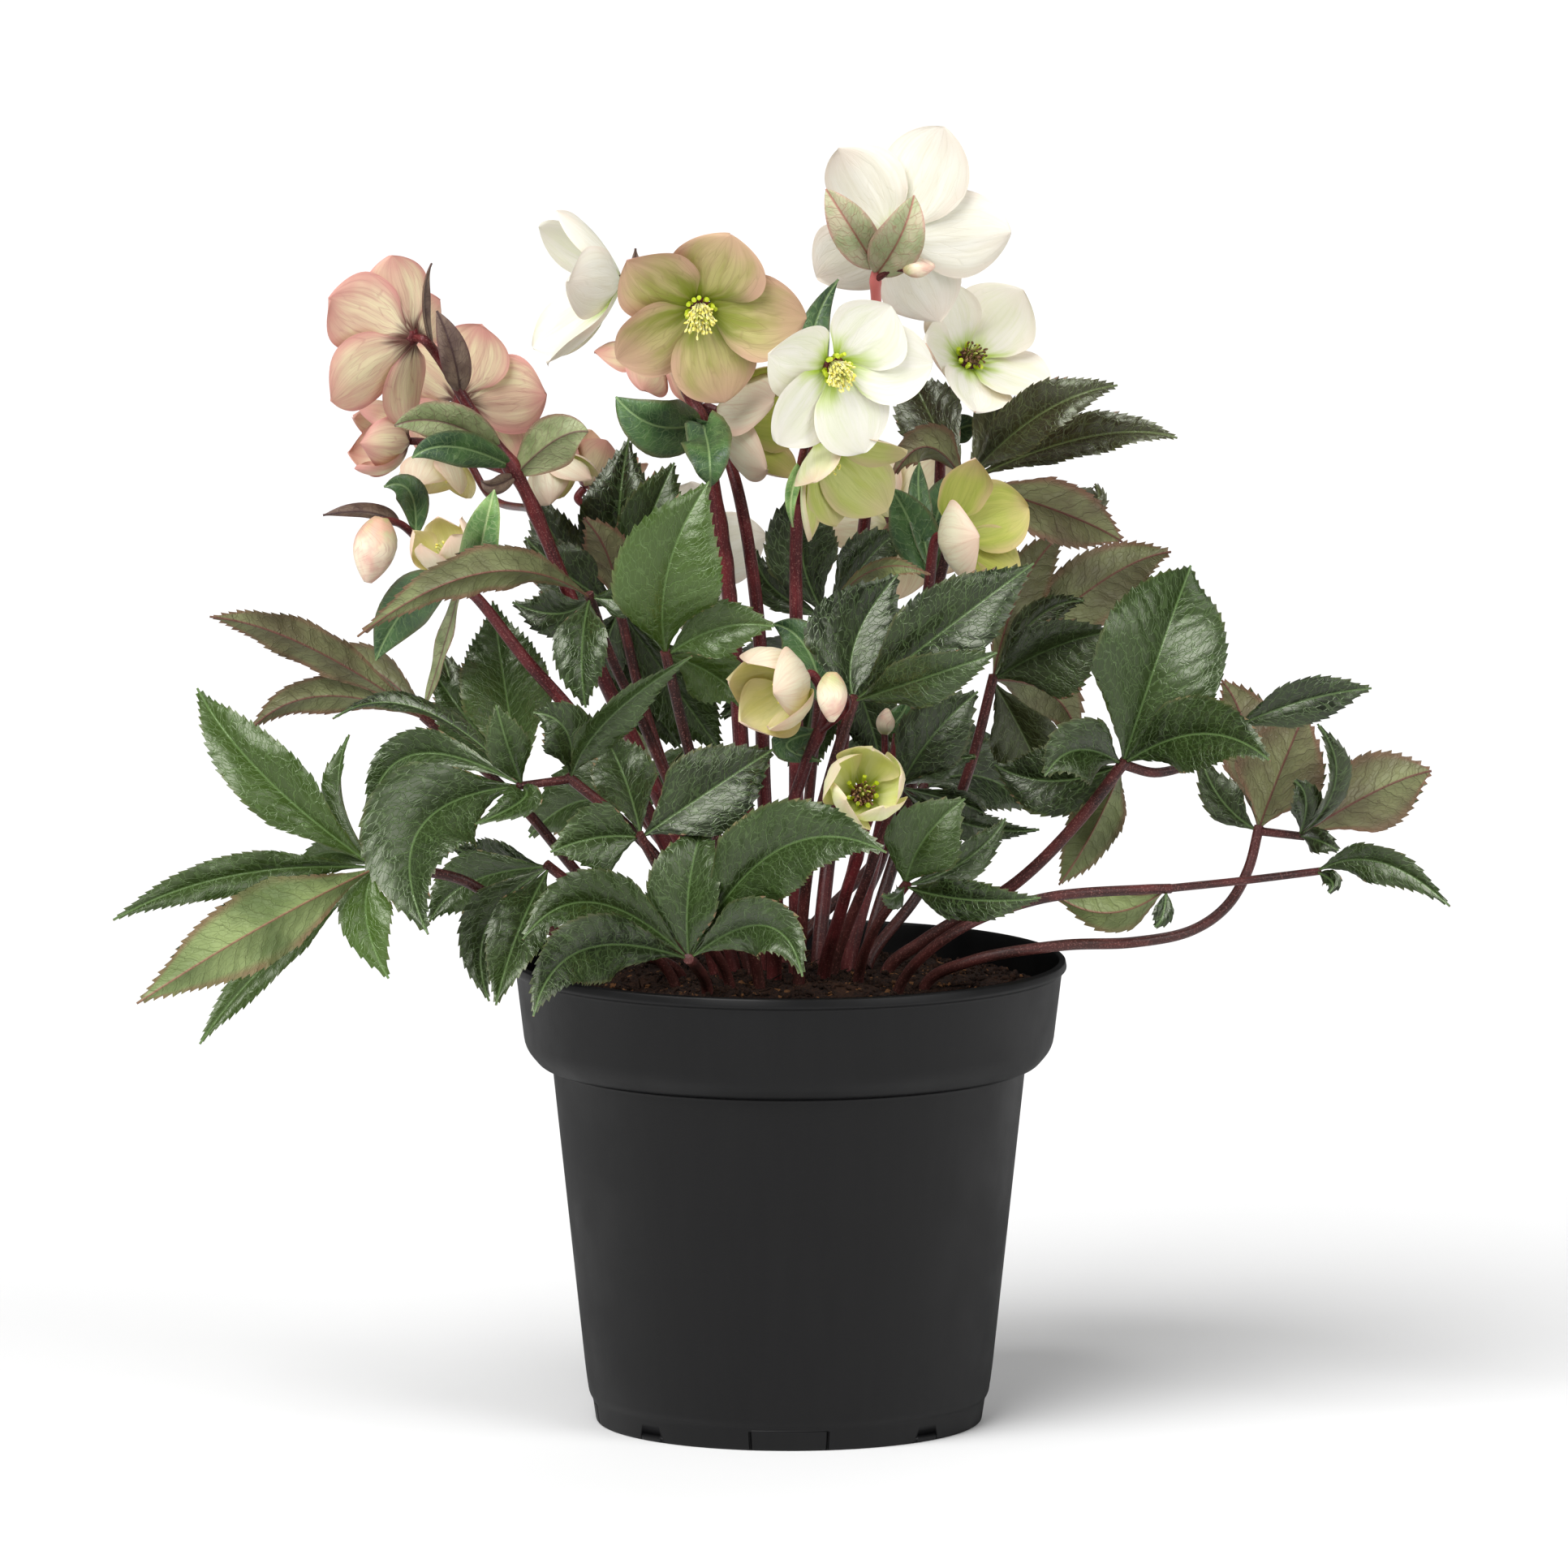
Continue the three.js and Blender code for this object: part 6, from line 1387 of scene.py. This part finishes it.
# Colours of each kind of sepal at its foot, body, streaks, edge and veins, and how strong they are.
SEPAL_LOOKS = {
    "white_face": ("#bedb42", "#fbfaf0", "#f1f4da", "#fbf8ee", "#e6ebc8",
                   dict(foot=0.4, vein=0.2, sheet=0.3)),
    "white_back": ("#dde2b0", "#fbf9f0", "#f4f0e2", "#f6e6da", "#e6e0cc",
                   dict(foot=0.2, rim=0.5, vein=0.25, sheet=0.3)),
    "cream_face": ("#cbd062", "#efeab0", "#e2e08c", "#f7eed8", "#d2d488",
                   dict(foot=0.45, rim=0.45, sheet=0.5)),
    # cup_face is a paler, brighter copy of cream_face for the inside of the front cup: painted light,
    # lighter than its own colour to stand in for light falling into the shaded cup.
    "cup_face": ("#cdd856", "#f8f9cc", "#f0f3a4", "#fffdee", "#e6eaa0", dict(rim=0.5, sheet=0.75)),
    "cream_back": ("#d3cf96", "#f7f1dc", "#f4e6d0", "#ecc4b2", "#e0b8a2", dict(rim=0.6)),
    "green_face": ("#abc23c", "#e4e89a", "#d0da6c", "#ead4b4", "#c2cc70", dict(foot=0.4)),
    "green_back": ("#c2cf6a", "#f3f4d6", "#e8ecb4", "#edd2bc", "#d8deaa", dict(foot=0.35)),
    "lime_face": ("#97aa2e", "#c9cd68", "#b2bf4e", "#e0c49a", "#a3ab4c", dict(foot=0.4)),
    "olive_face": ("#8c9a2a", "#d0c986", "#aaae52", "#e4bca4", "#a0885a",
                   dict(foot=0.5, streak=0.9, rim=0.85, vein=0.35, rim_start=0.42)),
    "olive_back": ("#a39058", "#e0d0aa", "#dcb6a0", "#da9c92", "#b07c70", dict(rim=0.8, vein=0.45)),
    "pink_face": ("#b5b060", "#f2e3c6", "#e9c8b4", "#e0a096", "#c68c82", dict(rim=0.75)),
    "pink_back": ("#6a4234", "#f4e9c4", "#e7c6ae", "#df9894", "#be7876",
                  dict(foot=0.24, streak=0.75, rim=0.75, vein=0.4, rim_start=0.56)),
}
sepal_skins = {name: sepal_skin("sepal_" + name, *codes, **shares)
               for name, (*codes, shares) in SEPAL_LOOKS.items()}


def plain_skin(name, first, second, scale, roughness):
    """A soft small part of a bloom in two mingled colours."""
    look = Look(name)
    share = look.band(look.noise(look.place(), scale, 2.0), 0.35, 0.65)
    base = look.mix(share, first, second)
    grain = look.noise(look.place(), scale * 4, 2.0)
    return look.finish(base, roughness, bump=look.bump(grain, 0.0001, 0.5),
                       more={"Subsurface Weight": 0.1, "Subsurface Radius": (0.002, 0.002, 0.001)})


nectary_green = plain_skin("nectary_green_waxy", "#b2c814", "#d0de3c", 300, 0.35)
filament_cream = plain_skin("filament_cream", "#f0eb9c", "#f8f5cc", 300, 0.5)
anther_yellow = plain_skin("anther_yellow_powdery", "#ecdf5c", "#f7f0a4", 900, 0.8)
filament_spent = plain_skin("filament_spent_brown", "#8a7a3c", "#6a4a30", 500, 0.7)
anther_spent = plain_skin("anther_spent_brown", "#5a3a28", "#8a6a48", 900, 0.85)
style_green = plain_skin("style_green_waxy", "#b9c44a", "#d6d98a", 300, 0.4)

STYLES = 4
GOLDEN_ANGLE = 2.4  # radians

# The skins of a heart, in the order that add_heart uses them, and how many nectaries it has.
FRESH_HEART = [nectary_green, filament_cream, anther_yellow, style_green], 12
SPENT_HEART = [nectary_green, filament_spent, anther_spent, style_green], 7
RECEPTACLE = [(1.9, -RECEPTACLE_DEPTH), (2.6, -2.2), (3.8, -1.0), (4.6, 0.1), (4.1, 0.8), (2.0, 1.3),
              (0.3, 1.5)]
ANTHER = [(0.1, -1.0), (0.42, -0.65), (0.52, 0), (0.42, 0.65), (0.1, 1.0)]


def add_heart(mesh, seat, face, stamens, nectaries, flare, rng, first=0):
    """The heart of a bloom: horn-shaped nectaries, stamens with anthers, and a few styles."""
    forward, up, right = axes(face)

    def out(angle):
        return up * math.cos(angle) + right * math.sin(angle)

    for k in range(nectaries):
        side = out(2 * math.pi * k / nectaries + rng.uniform(-0.2, 0.2))
        foot = seat + side * 3.2 + forward * 0.3
        rise = rng.uniform(2.8, 4.6)
        lips = foot + side * rng.uniform(2.2, 3.6) + forward * rise
        horn = [foot, foot + side * 1.9 + forward * 1.2, lips]
        add_tube(mesh, horn, 0.55, rng.uniform(0.85, 1.1), first, rng.uniform(), sides=8, step=0.8)
    for k in range(stamens):
        angle, ring = GOLDEN_ANGLE * k, math.sqrt((k + 0.5) / stamens)
        side = out(angle)
        length = rng.uniform(6.5, 10.5)
        foot = seat + side * (0.6 + 2.0 * ring) + forward * 0.6
        bend = side * ring * length * (0.42 if flare > 60 else 0.3)
        droop = -UP * rng.uniform(0.1, 0.32) * length
        middle = foot + bend * 0.5 + forward * length * 0.55 + droop * 0.2
        end = foot + bend + forward * length * (1.0 - 0.2 * ring) + droop
        add_tube(mesh, [foot, middle, end], 0.24, 0.19, first + 1, rng.uniform(), sides=5, step=2)
        tip = unit(end - middle)
        add_turned(mesh, end, tip + rng.uniform(-0.6, 0.6, 3), ANTHER, first + 2, rng.uniform(), sides=7)
    for k in range(STYLES):
        side = out(2 * math.pi * k / STYLES + 0.4)
        foot = seat + side * 0.8
        top = foot + side * 1.4 + forward * 10.5 - UP * 1.2
        add_tube(mesh, [foot, foot + side * 0.4 + forward * 6, top], 0.75, 0.3, first + 3, rng.uniform(),
                 sides=8, step=1.5)


for name, bloom in BLOOMS.items():
    mesh = Mesh()
    seat, face, (rise, flare, cup) = place(bloom["seat"]), bloom["face"], bloom["form"]
    add_turned(mesh, seat, face, RECEPTACLE, 2, 0)
    sepals = bloom.get("sepals") or [(bloom["turn"] + 72 * k, 1, 1, 0) for k in range(5)]
    for angle, long, wide, more in sepals:
        add_sepal(mesh, seat, face, angle, bloom["length"] * long, bloom["width"] * wide, rise, flare + more,
                  cup, rng)
    heart, nectaries = SPENT_HEART if "spent" in bloom else FRESH_HEART
    if name + "_boss" in frame["nodes"]:
        parts = Mesh()
        add_heart(parts, seat, face, bloom["stamens"], nectaries, flare, rng)
        parts.piece(name + "_heart", heart, "stamens", [name + "_boss"])
    else:
        add_heart(mesh, seat, face, bloom["stamens"], nectaries, flare, rng, first=3)
    front, back = bloom["skins"]
    skins = [sepal_skins[front + "_face"], sepal_skins[back + "_back"], stem_red] + heart
    slot = next(s for s in frame["record"]["subparts"] if s["node"] == name)["material_slot"]
    mesh.piece(name + "_sepals", skins, slot, [name])


# ---- Studio -----------------------------------------------------------------------------------------
# A white floor that runs out of view, an even room, and three wide soft lights that are very far away.
def floor_paint():
    look = Look("studio_floor_matt")
    shade = look.band(look.noise(look.place(), 0.8, 2.0), 0.3, 0.7)
    return look.finish(look.mix(shade, "#e5e5e5", "#e7e7e7"), 0.9, level=0.1)


FLOOR_REACH = 60  # metres
ROOM_LIGHT = 0.14

floor_mesh = bpy.data.meshes.new("floor")
corners = [(x * FLOOR_REACH, y * FLOOR_REACH, 0) for x, y in ((-1, -1), (1, -1), (1, 1), (-1, 1))]
floor_mesh.from_pydata(corners, [], [(0, 1, 2, 3)])
floor_mesh.materials.append(floor_paint())
floor = bpy.data.objects.new("floor", floor_mesh)
scene.collection.objects.link(floor)

world = bpy.data.worlds.new("studio")
scene.world = world
world.use_nodes = True
world.node_tree.nodes["Background"].inputs["Color"].default_value = (1, 1, 1, 1)
world.node_tree.nodes["Background"].inputs["Strength"].default_value = ROOM_LIGHT
scene.view_settings.view_transform = "Standard"


def soft_light(name, turn, height, spread, strength):
    """A soft light from far away: turn is counted from the front to the right, height from the floor."""
    light = bpy.data.lights.new(name, "SUN")
    light.energy, light.angle = strength, math.radians(spread)
    lamp = bpy.data.objects.new(name, light)
    lamp.rotation_euler = (math.radians(90 - height), 0, math.radians(turn))
    scene.collection.objects.link(lamp)


soft_light("key_left", -34, 46, 46, 4.1)
soft_light("fill_right", 50, 28, 40, 1.3)
soft_light("top_back", 170, 62, 40, 0.5)

lens = bpy.data.cameras.new("camera")
lens.sensor_width = 36
lens.lens = lens.sensor_width * VIEW_DISTANCE / (DRAWING_WIDTH * UNIT)
camera = bpy.data.objects.new("camera", lens)
camera.location = EYE * MM
camera.rotation_euler = (math.pi / 2 - VIEW_TILT, 0, 0)
lens.clip_end = 200
lens.shift_x, lens.shift_y = (offset / DRAWING_WIDTH for offset in DRAWING_OFFSET)
scene.collection.objects.link(camera)
scene.camera = camera
